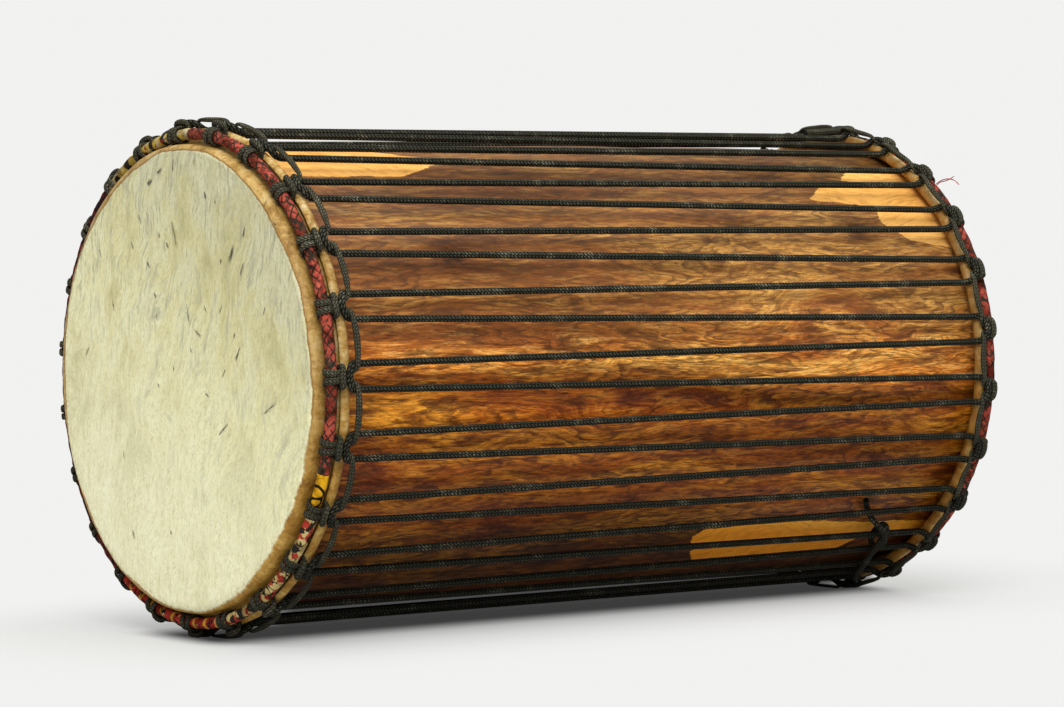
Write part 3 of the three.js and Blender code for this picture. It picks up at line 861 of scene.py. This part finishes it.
# Hides
def hide_middle(ring):
    """The middle line of a hide as (radius, inward): flat across the head, a quarter turn over
    the edge, down the collar, and round the flesh ring from under it to the fold's end."""
    lift = seat_gap + skin_thick / 2
    face = -crown_place_depth + skin_thick / 2
    crest = shell_radius - edge_round
    flat_radius = np.concatenate([[0.4], np.linspace(4, crest, 70)[:-1]])
    flat = columns(flat_radius, face)
    turn = np.linspace(0, np.pi / 2, 10)
    bend = edge_round + lift
    edge = columns(crest + bend * np.sin(turn), face + bend * (1 - np.cos(turn)))
    wrap_middle = wrap_radius - skin_thick / 2
    turn = np.radians(np.linspace(216, -75, 34))
    wrap = columns(ring + wrap_middle * np.cos(turn), flesh_place + wrap_middle * np.sin(turn))
    collar_end = np.array([shell_radius + lift, 1.5])
    share = np.linspace(0, 1, 9)[1:-1, None]
    down = edge[-1] * (1 - share) + collar_end * share
    share = np.linspace(0, 1, 6)[:-1, None]
    flare = collar_end * (1 - share) + wrap[0] * share
    return np.concatenate([flat, edge, down, flare, wrap])


def hairline(angle):
    """The length of skin from the middle of a head to the hairline. It reaches further out on the
    near side, and back in two bays, each with its degrees, depth and reach in radians."""
    waves = 0.8 * wave_sum(6, 77, *circle(angle, 5)) + 0.35 * wave_sum(6, 78, *circle(angle, 19))
    bays = 0
    for degrees, depth, reach in [(-132, 1.3, 0.42), (-48, 2.6, 0.40)]:
        bays = bays + depth * np.exp(-(turned_from(angle, degrees) / reach) ** 2)
    return hairline_reach - hairline_lean * np.sin(angle) - bays + waves


def make_hide(name, head):
    around = 360
    line = hide_middle(head["ring"])
    along_line = unit(np.gradient(line, axis=0))
    half = columns(-along_line[:, 1], along_line[:, 0]) * skin_thick / 2
    outline = np.concatenate([line - half, (line + half)[::-1]])
    outline[:, 0] = np.maximum(outline[:, 0], 0.3)
    angle = turns(around)
    radius = outline[:, :1] + 0 * angle[None, :]
    inward = outline[:, 1:] + 0 * angle[None, :]
    # Pleats of the collar and of the cover of the flesh ring
    on_ring = np.clip((inward - cover_place) / cover_fade, 0, 1)
    on_collar = np.clip((radius - collar_radius) / collar_fade, 0, 1) * (1 - on_ring)
    pleat = wave_sum(14, 31, *circle(angle, 22), inward / 9)
    fine = wave_sum(14, 32, *circle(angle, 60), inward / 6)
    radius = (radius + on_collar * (collar_pleat * pleat + collar_crease * fine)
              + on_ring * (cover_pleat * pleat + cover_crease * fine))
    points = drum_point(head["side"] * (crown_plane - inward), angle[None, :], radius)
    path = np.concatenate([[0], np.cumsum(np.linalg.norm(np.diff(line, axis=0), axis=1))])
    path = np.concatenate([path, path[::-1]])[:, None]
    bare = (path - hairline(angle)[None, :]) * MM
    quads = grid_quads(len(outline), around, False, True)
    caps = end_caps(len(outline), around)
    piece = make_piece(f"{name}_hide", points, quads, hide, caps, fields={"bare": bare.ravel()})
    fit_piece(piece, "hide", f"{name}_skin")


# Loose hairs and threads
def make_hairs(name, roots, ways, facing, lengths, thick, material):
    """Thin three-sided hairs that taper to their tips: each leaves its root along its way and
    bends back a little towards the surface, by facing times a share of its length."""
    share = np.array([0.0, 0.5, 1.0])
    taper = np.array([1.0, 0.7, 0.15])
    bow = np.array([0.0, 0.05, -0.02])
    turn = turns(3)[None, :, None]
    across = unit(np.cross(ways, facing))
    middle = roots[:, None, :] + ways[:, None, :] * (lengths[:, None] * share)[..., None]
    middle = middle + facing[:, None, :] * (lengths[:, None] * bow)[..., None]
    ring = across[:, None, :] * np.cos(turn) + facing[:, None, :] * np.sin(turn)
    points = middle[:, :, None, :] + ring[:, None, :, :] * (thick * taper)[None, :, None, None]
    one = grid_quads(3, 3, False, True)
    first = 9 * np.arange(len(roots))
    quads = (first[:, None, None] + one[None]).reshape(-1, 4)
    caps = [cap + start for start in first for cap in (np.array([2, 1, 0]), np.array([6, 7, 8]))]
    fit_piece(make_piece(name, points, quads, material, caps), "hide")


# Dark tufts of the front hide: both ends as (y, height over the axis), width and number of hairs
dark_tufts = [
    (47, 151, 40, 156, 3.2, 16), (34, 160, 24, 164, 2.2, 12), (9, 172, 10, 160, 1.4, 7),
    (-35, 146, -39, 139, 2.0, 10), (12, 124, 3, 101, 0.9, 8), (31, 114, 29, 109, 1.4, 6),
    (20, 107, 16, 101, 1.5, 6), (72, 107, 68, 100, 1.3, 5), (48, 91, 44, 84, 2.0, 6),
    (37, 67, 35, 61, 1.7, 6), (34, 50, 34, 45, 1.2, 4), (-50, 142, -52, 134, 1.1, 5),
    (-78, 106, -69, 90, 2.3, 16), (-92, 119, -90, 109, 1.5, 9), (-91, 93, -85, 80, 1.6, 9),
    (-60, 95, -58, 89, 1.3, 5), (-35, 58, -39, 52, 1.3, 5), (-79, 39, -76, 33, 1.2, 5),
    (-86, 28, -78, 15, 1.5, 10), (-65, 11, -60, 3, 1.2, 5), (-14, 25, -18, 20, 1.4, 4),
    (-10, 60, -14, 40, 0.6, 5), (-20, 40, -33, 32, 0.7, 5), (-55, -41, -70, -30, 0.6, 7),
    (-117, -22, -138, -11, 0.6, 7), (10, 11, 9, 5, 1.2, 5), (33, -4, 30, -9, 1.5, 4),
    (71, -122, 68, -131, 2.2, 6), (15, -119, 13, -123, 1.8, 6), (-117, 135, -127, 143, 0.8, 4),
    (-130, 125, -138, 117, 0.9, 5), (-36, -9, -42, -13, 1.1, 4), (137, 21, 143, 11, 1.3, 4),
    (60, 128, 57, 119, 1.2, 4), (100, 60, 97, 50, 1.2, 4), (-120, 60, -117, 50, 1.2, 4),
    (85, -60, 83, -68, 1.0, 3), (-60, 60, -57, 50, 1.2, 4), (120, 100, 117, 92, 1.2, 4),
]


def make_dark_tufts():
    random = np.random.default_rng(11)
    roots, ways, lengths = [], [], []
    for y0, up0, y1, up1, spread, count in dark_tufts:
        start, end = np.array([y0, up0]), np.array([y1, up1])
        whole = np.linalg.norm(end - start)
        way = (end - start) / whole
        across = np.array([-way[1], way[0]])
        for _ in range(2 * count):
            length = random.uniform(0.3, 0.6) * whole + 1.0
            begin = start + way * random.uniform(0, max(whole - length, 0.1))
            begin = begin + across * random.normal(0, spread / 3)
            lean = way + across * random.normal(0, 0.12)
            roots.append((-drum_length / 2 - 0.05, begin[0], floor_radius + begin[1]))
            ways.append((0, lean[0], lean[1]))
            lengths.append(length)
    roots, ways = np.array(roots), unit(np.array(ways, float))
    facing = np.broadcast_to([-1.0, 0.0, 0.0], ways.shape)
    make_hairs("front_dark_tufts", roots, ways, facing, np.array(lengths), tuft_hair_thick, dark_hair)


def make_edge_hairs(name, head, seed):
    """Pale hairs that reach over the hairline onto the bare collar."""
    random = np.random.default_rng(seed)
    count = edge_hair_count
    angle = random.uniform(-np.pi, np.pi, count)
    radius = np.minimum(hairline(angle), shell_radius - edge_round + 1) - random.uniform(0.2, 3.5, count)
    roots = drum_point(head["side"] * (drum_length / 2 + 0.03), angle, radius)
    sideways = columns(0, np.cos(angle), np.sin(angle))
    ways = unit(outward(angle) + sideways * random.normal(0, 0.5, count)[:, None] + [0.0, 0.0, -0.35])
    facing = np.broadcast_to([float(head["side"]), 0.0, 0.0], ways.shape)
    make_hairs(name, roots, ways, facing, random.uniform(1.2, 3.2, count), edge_hair_thick, pale_hair)


# Routes of the loose red threads of the rear winding
red_threads = [
    [(-1.5, -141, 4.6), (-2.5, -140.8, 8), (-4, -140.2, 12.5), (-6.5, -139.2, 16), (-9.5, -138.2, 17),
     (-12, -137.2, 15.5)],
    [(-1.5, -140.6, 4.6), (-3, -140.6, 8.5), (-5, -139.6, 12), (-6, -138.9, 17), (-7.5, -138.8, 20)],
]


def route_points(route, radius):
    """Points by the rear head and their angles, from rows of the distance in from the crown
    ring, the degrees from the lowest line and the rise over a radius."""
    inward, degrees, rise = np.array(route).T
    angle = np.radians(degrees)
    return drum_point(crown_plane - inward, angle, radius + rise), angle


def make_red_threads():
    for i, route in enumerate(red_threads):
        middle, _ = route_points(route, heads["rear"]["ring"])
        path = spline(middle, 6, False)
        facing = np.broadcast_to([1.0, 0.0, 0.0], path.shape)
        size = np.full(len(path), thread_thick)
        piece = cord_piece(f"rear_loose_thread_{i + 1}", path, facing, size, size, 6, False, red_thread)
        fit_piece(piece, "cloth_red_lattice")


# Rings
def make_rod(name, head, inward, rod_radius, node):
    around, sides = 180, 12
    turn = turns(sides)[None, :]
    points = drum_point(head["side"] * (crown_plane - inward - rod_radius * np.sin(turn)),
                        turns(around)[:, None], head["ring"] + rod_radius * np.cos(turn))
    piece = make_piece(name, points, grid_quads(around, sides, True, True), ring_steel)
    fit_piece(piece, "ring_steel", node)


def make_cloth(name, head, first, last, material, slot):
    """A strip of cloth wound on the crown ring: a sleeve whose outer radius swells and drops at
    each edge of the winding, with small creases along it."""
    sides = 20
    cut = cloth_gap / 2 / head["ring"]
    length = (last - first) * step_angle * head["ring"]
    count = max(int(length / 1.6), 8)
    angle = np.linspace(first * step_angle + cut, last * step_angle - cut, count)[:, None]
    turn = TURN * np.arange(sides + 1)[None, :] / sides
    place = angle * head["ring"]
    winding = (place / winding_pitch + turn / TURN) % 1.0
    crease = wave_sum(8, 41, place / 2.6, np.cos(turn) * 1.5, np.sin(turn) * 1.5)
    outer = cloth_thin_radius + winding_step * winding ** 0.5 + crease_height * crease
    inner = np.full_like(outer, crown_rod_radius)

    def layer(radius):
        along = head["side"] * (crown_plane - radius * np.sin(turn))
        return drum_point(along, angle + 0 * turn, head["ring"] + radius * np.cos(turn))[:, :-1]

    size = count * sides
    points = np.concatenate([layer(outer).reshape(-1, 3), layer(inner).reshape(-1, 3)])
    outside = grid_quads(count, sides, False, True)
    inside = outside[:, ::-1] + size
    k = np.arange(sides)
    next_k = (k + 1) % sides
    start = columns(next_k, k, k + size, next_k + size)
    end = (count - 1) * sides + columns(k, next_k, next_k + size, k + size)
    uv = grid_uv(np.arange(sides + 1) / sides, (place[:, 0] - place[0, 0]) * MM)
    quads = np.concatenate([outside, inside, start, end])
    piece = make_piece(f"{name}_winding", points, quads, material, uv=np.concatenate([uv, reversed_uv(uv)]))
    fit_piece(piece, slot, name)


# The looks of the cloths: the ground's colour, and each print's kind, sizes and colour
cloth_prints = {
    "red_lattice": ["a84a3b", (blotch_print, 55, 0.46, 0.60, "7c3122"),
                    (blotch_print, 120, 0.60, 0.70, "b35c46"), (blotch_print, 140, 0.57, 0.62, "40362a"),
                    (lattice_print, 8.5, "32291f")],
    "yellow": ["dda51c", (line_print, 62, 0.05, "1c1710")],
    "cream_motif": ["cbb478", (blotch_print, 105, 0.52, 0.55, "a83a2a"),
                    (blotch_print, 125, 0.54, 0.57, "2b2823"), (line_print, 85, 0.03, "2b2823")],
    "red_yellow": ["a33328", (band_print, 16, 0.22, "cf9c38"), (blotch_print, 170, 0.58, 0.62, "1f1719"),
                   (blotch_print, 210, 0.66, 0.69, "d8c08a")],
    "dark_red": ["6f2a25", (blotch_print, 130, 0.52, 0.57, "241719"), (lattice_print, 9, "2a1716")],
    "bands": ["b59a45", (band_print, 19, 0.30, "2c2822"), (blotch_print, 110, 0.55, 0.62, "b9ab82"),
              (blotch_print, 150, 0.62, 0.66, "8f3a2c")],
    "russet": ["8c4331", (blotch_print, 90, 0.5, 0.62, "5c2c22"), (lattice_print, 9, "3a2220")],
}
cloth_looks = {look: cloth_finish(look, *prints) for look, prints in cloth_prints.items()}

# The cloths of each crown ring, with the step of the rim where each begins
cloths = {
    "front": [(-23, "russet"), (-22, "red_lattice"), (-9, "yellow"), (-8, "cream_motif"),
              (-2, "red_yellow"), (4, "dark_red"), (18, "bands")],
    "rear": [(-20, "red_lattice"), (-5, "dark_red"), (8, "red_yellow"), (17, "cream_motif")],
}


# Cords on the rims
leg_thick = cord_radius / 2
leg_wide = cord_radius * 1.15
neck_thick = cord_radius * 0.41
neck_wide = cord_radius * 0.9
tuck_thick = cord_radius * 0.36
slot_thick = ring_slot / 2 - seat_gap
slot_wide = cord_radius * 0.82
cross_wide = cord_radius * 0.75
cross_thick = cord_radius * 0.6
crown_top = cloth_radius + seat_gap + leg_thick
bar_height = crown_top + leg_thick + cord_gap * 2 + cord_radius
bar_place = cord_radius * 1.35
neck_height = wrap_radius + seat_gap + cord_gap * 0.3 + neck_thick
bend_height = neck_height + neck_thick + cord_gap * 1.7 + rope_radius
bend_place = bar_place + cord_radius + cord_gap + rope_radius
neck_side = neck_wide + cord_gap * 0.7
slot_side = neck_side + neck_wide + cord_gap + slot_wide
tuck_radius = cloth_radius + seat_gap + tuck_thick
slot_place = cloth_radius + ring_slot / 2
arm_place = flesh_place + wrap_radius * 0.8
arm_height = np.sqrt((wrap_radius + seat_gap + rope_radius) ** 2 - (arm_place - flesh_place) ** 2)
cross_place = arm_place + cross_wide * 0.7
cross_height = arm_height + rope_radius + cord_gap * 2.5 + cross_thick
scallop_bow = 1.6
scallop_drop = 0.6
cord_swell_share = 1.08
rope_tail_radius = 2.5
cord_end_wide = 2.6
cord_end_thick = 3.2


def ring_stop(degrees, radius, sideways, thick, wide):
    """A stop round the crown ring's tube. It stands out a little more, as the cord cuts corners."""
    turn = np.radians(degrees)
    reach = radius / np.cos(np.radians(25))
    place = (reach * np.cos(turn), sideways, reach * np.sin(turn))
    return place, (np.cos(turn), 0, np.sin(turn)), wide, thick


def half_hitch(arm):
    """Half of a hitch from the crossing over the rope's arm to the bar over the crown ring.
    Each stop is its place (inward, round the rim, outward), facing, half width and half thickness."""
    return [
        ((cross_place, arm, cross_height), (0, 0, 1), cross_wide, cross_thick),
        ((cross_place + cord_gap, arm - rope_radius * 1.35, cross_height - cord_gap * 1.5),
         (0, 0.45, 0.9), cross_wide, cross_thick * 0.8),
        ((flesh_place + wrap_radius * 0.48, neck_side * 1.1, neck_height), (0.2, 0.2, 0.9),
         neck_wide * 0.9, neck_thick),
        ring_stop(90, crown_top, neck_side * 1.1, leg_thick, leg_wide * 0.86),
        ring_stop(140, crown_top, neck_side * 1.25, leg_thick, leg_wide),
        ring_stop(190, tuck_radius, neck_side * 1.5, tuck_thick, leg_wide * 0.9),
        ring_stop(240, tuck_radius, (neck_side * 1.5 + slot_side) / 2, tuck_thick, slot_wide),
        ring_stop(290, tuck_radius, slot_side, tuck_thick, slot_wide),
        ((slot_place, slot_side, -wrap_radius * 0.68), (1, 0, -0.3), slot_wide, slot_thick),
        ((slot_place, slot_side + cord_gap * 2.6, neck_height + cord_gap), (1, 0, 0.2),
         slot_wide, slot_thick * 1.7),
        ((bar_place * 1.3, slot_side * 1.08, bar_height - cord_radius * 0.25), (0.5, 0.6, 0.62),
         slot_wide, slot_wide),
        ((bar_place, neck_side, bar_height), (0, 0, 1), cord_radius, cord_radius),
    ]


def half_bend(head):
    """Half of the rope's bend round the neck of a hitch, from its run to the crown's side."""
    run = run_radius - head["ring"]
    return [
        (arm_place + rope_radius * 1.9, head["arm"], run),
        (arm_place, head["arm"], arm_height),
        (bend_place + rope_radius, head["arm"] - rope_radius * 0.75, bend_height - cord_gap),
    ]


def hitch_angle(head, index):
    even = (head["first_step"] + 2 * index) * step_angle
    return even + head["turn"] + head["draw"] * (1 - np.cos(even)) / 2


def rim_stop(head, angle, place, way):
    """A point near a head and the way that a cord faces there. The place and the way are both
    inward from the crown ring's plane, round from the hitch, and out."""
    inward, round_rim, out = place
    angle = angle + round_rim / head["ring"]
    point = drum_point(head["side"] * (crown_plane - inward), angle, head["ring"] + out)
    sine, cosine = np.sin(angle), np.cos(angle)
    facing = [-head["side"] * way[0], way[1] * cosine + way[2] * sine, way[1] * sine - way[2] * cosine]
    return np.array([point, facing])


def mirrored(stops):
    """The stops of the hitch's other half."""
    rows = []
    for (inward, round_rim, out), (x, y, z), wide, thick in stops:
        rows.append(((inward, -round_rim, out), (x, -y, z), wide, thick))
    return rows


def scallop(head, span):
    """The stops between one hitch and the next, where the cord takes its full width and bows
    inward by a share of 1 - (2 share - 1)^2."""
    first = head["arm"]
    last = span * head["ring"] - head["arm"]
    stops = []
    for share in (0.2, 0.4, 0.6, 0.8):
        bow = 1 - (2 * share - 1) ** 2
        round_rim = first + (last - first) * share
        place = (cross_place + scallop_bow * bow, round_rim, cross_height - scallop_drop * bow)
        stops.append((place, (0, 0, 1), cord_radius, cord_radius * 0.8))
    return stops


def make_cradle(name, head):
    half = half_hitch(head["arm"])
    stops = []
    for index in range(hitches):
        angle = hitch_angle(head, index)
        span = hitch_angle(head, index + 1) - angle
        for place, way, wide, thick in mirrored(half) + half[::-1] + scallop(head, span):
            stops.append([*rim_stop(head, angle, place, way).ravel(), wide, thick])
    cord = spline(stops, 4, True)
    wide, thick = cord[:, 6:].T * cord_swell_share
    piece = cord_piece(f"{name}_cradle_braid", cord[:, :3], cord[:, 3:6], wide, thick, 12, True,
                       cord_olive, 2.4)
    fit_piece(piece, "cradle_cord", f"{name}_cradle_cord")


def make_rope():
    """The tension rope: from the bend at one hitch along a run to the bend at the other head."""
    shares = np.array([0.012, 0.04, 0.1, 0.2, 0.35, 0.5, 0.65, 0.8, 0.9, 0.96, 0.988])[:, None, None]
    bends = []
    for index in range(hitches):
        for head in heads.values():
            angle = hitch_angle(head, index)
            half = half_bend(head)
            places = [(p[0], -p[1], p[2]) for p in half] + [(bend_place, 0, bend_height)] + half[::-1]
            bends.append(np.array([rim_stop(head, angle, p, (0, 0, 1)) for p in places]))
    stops = []
    for bend, next_bend in zip(bends, bends[1:] + bends[:1]):
        stops += [bend, bend[-1] + (next_bend[0] - bend[-1]) * shares]
    rope = spline(np.concatenate(stops), 4, True)
    size = np.full(len(rope), rope_radius)
    piece = cord_piece("tension_rope_braid", rope[:, 0], rope[:, 1], size, size, 12, True, rope_black)
    fit_piece(piece, "rope", "tension_rope")


# Routes of the rope's spare end and of the cradle cord's end, over the runs
tail_route = [
    (101.5, -52.9, -6.8), (97, -50.7, -6.8), (90.5, -48.2, -6.2), (88, -47.5, 0), (85.5, -47.3, 7),
    (76.5, -45.6, 9.6), (67.5, -42.2, 9), (65, -38.7, 6.5), (64, -36.5, 0), (65, -37.5, -5.6),
    (67.5, -41.1, -6.8), (69, -44.7, -4), (70.5, -46, 3.4), (71, -44.4, 7.4), (71.5, -41.7, 7.4),
    (68, -37.9, 6.4), (62.5, -32.8, 6), (54, -26.7, 5.8), (38, -18.4, 5.6), (27.5, -17, 4.8),
]
end_route = [
    (3, 184.8, 7.6), (8, 185.0, 7.2), (14, 185.2, 6.0), (21, 185.6, 5.5),
    (30, 186.2, 5.5), (40, 186.8, 5.2), (50, 187, 4.8), (59, 186.8, 4.3),
]


def make_route_cord(name, route, wide, thick, material, slot, node):
    middle, angle = route_points(route, run_radius)
    path = spline(middle, 8, False)
    ways = spline(outward(angle), 8, False)
    size = np.ones(len(path))
    piece = cord_piece(name, path, ways, size * wide, size * thick, 14, False, material)
    fit_piece(piece, slot, node)


for end, head in heads.items():
    make_hide(end, head)
    make_rod(f"{end}_flesh_rod", head, flesh_place, flesh_rod_radius, f"{end}_flesh_ring")
    make_rod(f"{end}_crown_rod", head, 0.0, crown_rod_radius - rod_clearance, f"{end}_crown_ring")
    make_edge_hairs(f"{end}_edge_hairs", head, 50 + head["side"])
    strips = cloths[end]
    for i, (first, look) in enumerate(strips):
        last = strips[i + 1][0] if i + 1 < len(strips) else strips[0][0] + 2 * hitches
        make_cloth(f"{end}_ring_cloth_{i + 1}", head, first, last, cloth_looks[look], f"cloth_{look}")
    make_cradle(end, head)
make_rope()
make_dark_tufts()
make_red_threads()
make_route_cord("rope_tail_braid", tail_route, rope_tail_radius, rope_tail_radius, rope_black,
                "rope", "rope_tail")
make_route_cord("cradle_end_braid", end_route, cord_end_wide, cord_end_thick, cord_olive,
                "cradle_cord", "cradle_cord_end")


# Stage
def stage_finish():
    """A pale floor that takes the drum's shadow, and further off a plain glow to the camera.
    It is darker beneath the drum and just past it, a painted shadow."""
    f = Finish("pale_floor")
    x, y, _ = f.split(f.place())
    wide, deep = abs(x), abs(y)
    # Painted shadows: where the drum touches the floor, and on the floor just past it
    painted_contact_shadow = f.span(deep, 0.02, 0.08, 1, 0) * f.span(wide, 0.33, 0.37, 1, 0)
    along = x - y * float(np.tan(np.radians(camera_yaw)))
    painted_shadow_past_drum = f.span(along, -0.31, -0.25) * f.span(along, 0.37, 0.395, 1, 0)
    painted_shadow_past_drum = painted_shadow_past_drum * (f.span(y, 0, 0.03) * f.span(y, 0.14, 0.32, 1, 0))
    # The painted shadows darken both the floor and its glow
    light = 1 - f.math("MAXIMUM", painted_contact_shadow, painted_shadow_past_drum) * 0.88
    f.finish(f.scale((0.58, 0.585, 0.58), light), 0.95, specular=0.1)
    away = f.length(f.join(f.math("MAXIMUM", wide - 0.35, 0), deep))
    seen = 0
    for ray in ("Is Camera Ray", "Is Glossy Ray", "Is Transmission Ray"):
        seen = f.math("MAXIMUM", f.node("ShaderNodeLightPath", ray, {}), seen)
    inputs = {"Color": (1.0, 1.0, 0.99, 1.0), "Strength": light * 0.885}
    glow = f.node("ShaderNodeEmission", "Emission", inputs)
    share = seen * f.span(away, 0, 0.35, 0.40, 1)
    floor = Value(f, f.shader.outputs["BSDF"])
    blend = f.node("ShaderNodeMixShader", "Shader", {0: share, 1: floor, 2: glow})
    f.put(f.output.inputs["Surface"], blend)
    return f.material


def make_stage():
    """A pale floor that curves up into a backdrop."""
    reach, depth, rise, bend = 6000.0, 4200.0, 4500.0, 2400.0
    turn = np.linspace(0, np.pi / 2, 40)
    curve = columns(depth - bend + bend * np.sin(turn), bend * (1 - np.cos(turn)))
    line = np.concatenate([[[-reach, 0.0]], curve, [[depth, rise]]])
    yaw = np.radians(camera_yaw)
    away = np.array([np.sin(yaw), np.cos(yaw), 0])
    across = np.array([np.cos(yaw), -np.sin(yaw), 0])
    sideways = np.array([-reach, reach])
    points = (line[:, None, :1] * away + line[:, None, 1:] * np.array([0, 0, 1])
              + sideways[None, :, None] * across)
    mesh = bpy.data.meshes.new("stage")
    faces = grid_quads(len(line), 2, False, False)
    mesh.from_pydata((points.reshape(-1, 3) * MM).tolist(), [], faces.tolist())
    mesh.materials.append(stage_finish())
    for polygon in mesh.polygons:
        polygon.use_smooth = True
    stage = add_object("stage", mesh)


# Camera, fitted to the photograph
image_wide = 1064
camera_yaw = 37.37
camera_pitch = 2.38
camera_focus = 3912.0
camera_distance = 3253.3
camera_right = 1.2
camera_up = 11.4
fit_along = -5.45


def make_camera():
    yaw, pitch = np.radians([camera_yaw, camera_pitch])
    forward = np.array([np.sin(yaw) * np.cos(pitch), np.cos(yaw) * np.cos(pitch), -np.sin(pitch)])
    right = np.array([np.cos(yaw), -np.sin(yaw), 0])
    up = np.cross(right, forward)
    place = -forward * camera_distance + right * camera_right + up * camera_up
    place = place + np.array([fit_along, 0, floor_radius])
    data = bpy.data.cameras.new("camera")
    data.sensor_width = 36
    data.lens = data.sensor_width * camera_focus / image_wide
    data.clip_end = 50
    camera = add_object("camera", data)
    turn = Matrix((right, up, -forward)).transposed()
    camera.matrix_world = Matrix.Translation(Vector(place * MM)) @ turn.to_4x4()
    bpy.context.scene.camera = camera


# Lights, in metres and watts
light_aim = Vector((0.0, 0.0, 0.2))
window_power = 104.0
ceiling_power = 61.0
world_strength = 0.42


def make_light(name, place, size, power):
    data = bpy.data.lights.new(name, "AREA")
    data.shape = "RECTANGLE"
    data.size, data.size_y = size
    data.energy = power
    light = add_object(name, data)
    light.location = place
    light.rotation_euler = (light_aim - Vector(place)).to_track_quat("-Z", "Y").to_euler()


def make_world():
    world = bpy.data.worlds.new("studio")
    world.use_nodes = True
    background = world.node_tree.nodes["Background"]
    background.inputs["Color"].default_value = (1.0, 1.0, 0.99, 1.0)
    background.inputs["Strength"].default_value = world_strength
    bpy.context.scene.world = world


make_camera()
make_stage()
make_world()
make_light("window", (-1.6, -2.2, 2.6), (2.0, 1.6), window_power)
make_light("ceiling", (0.3, -0.5, 3.0), (2.6, 2.2), ceiling_power)
bpy.context.scene.view_settings.view_transform = "Standard"
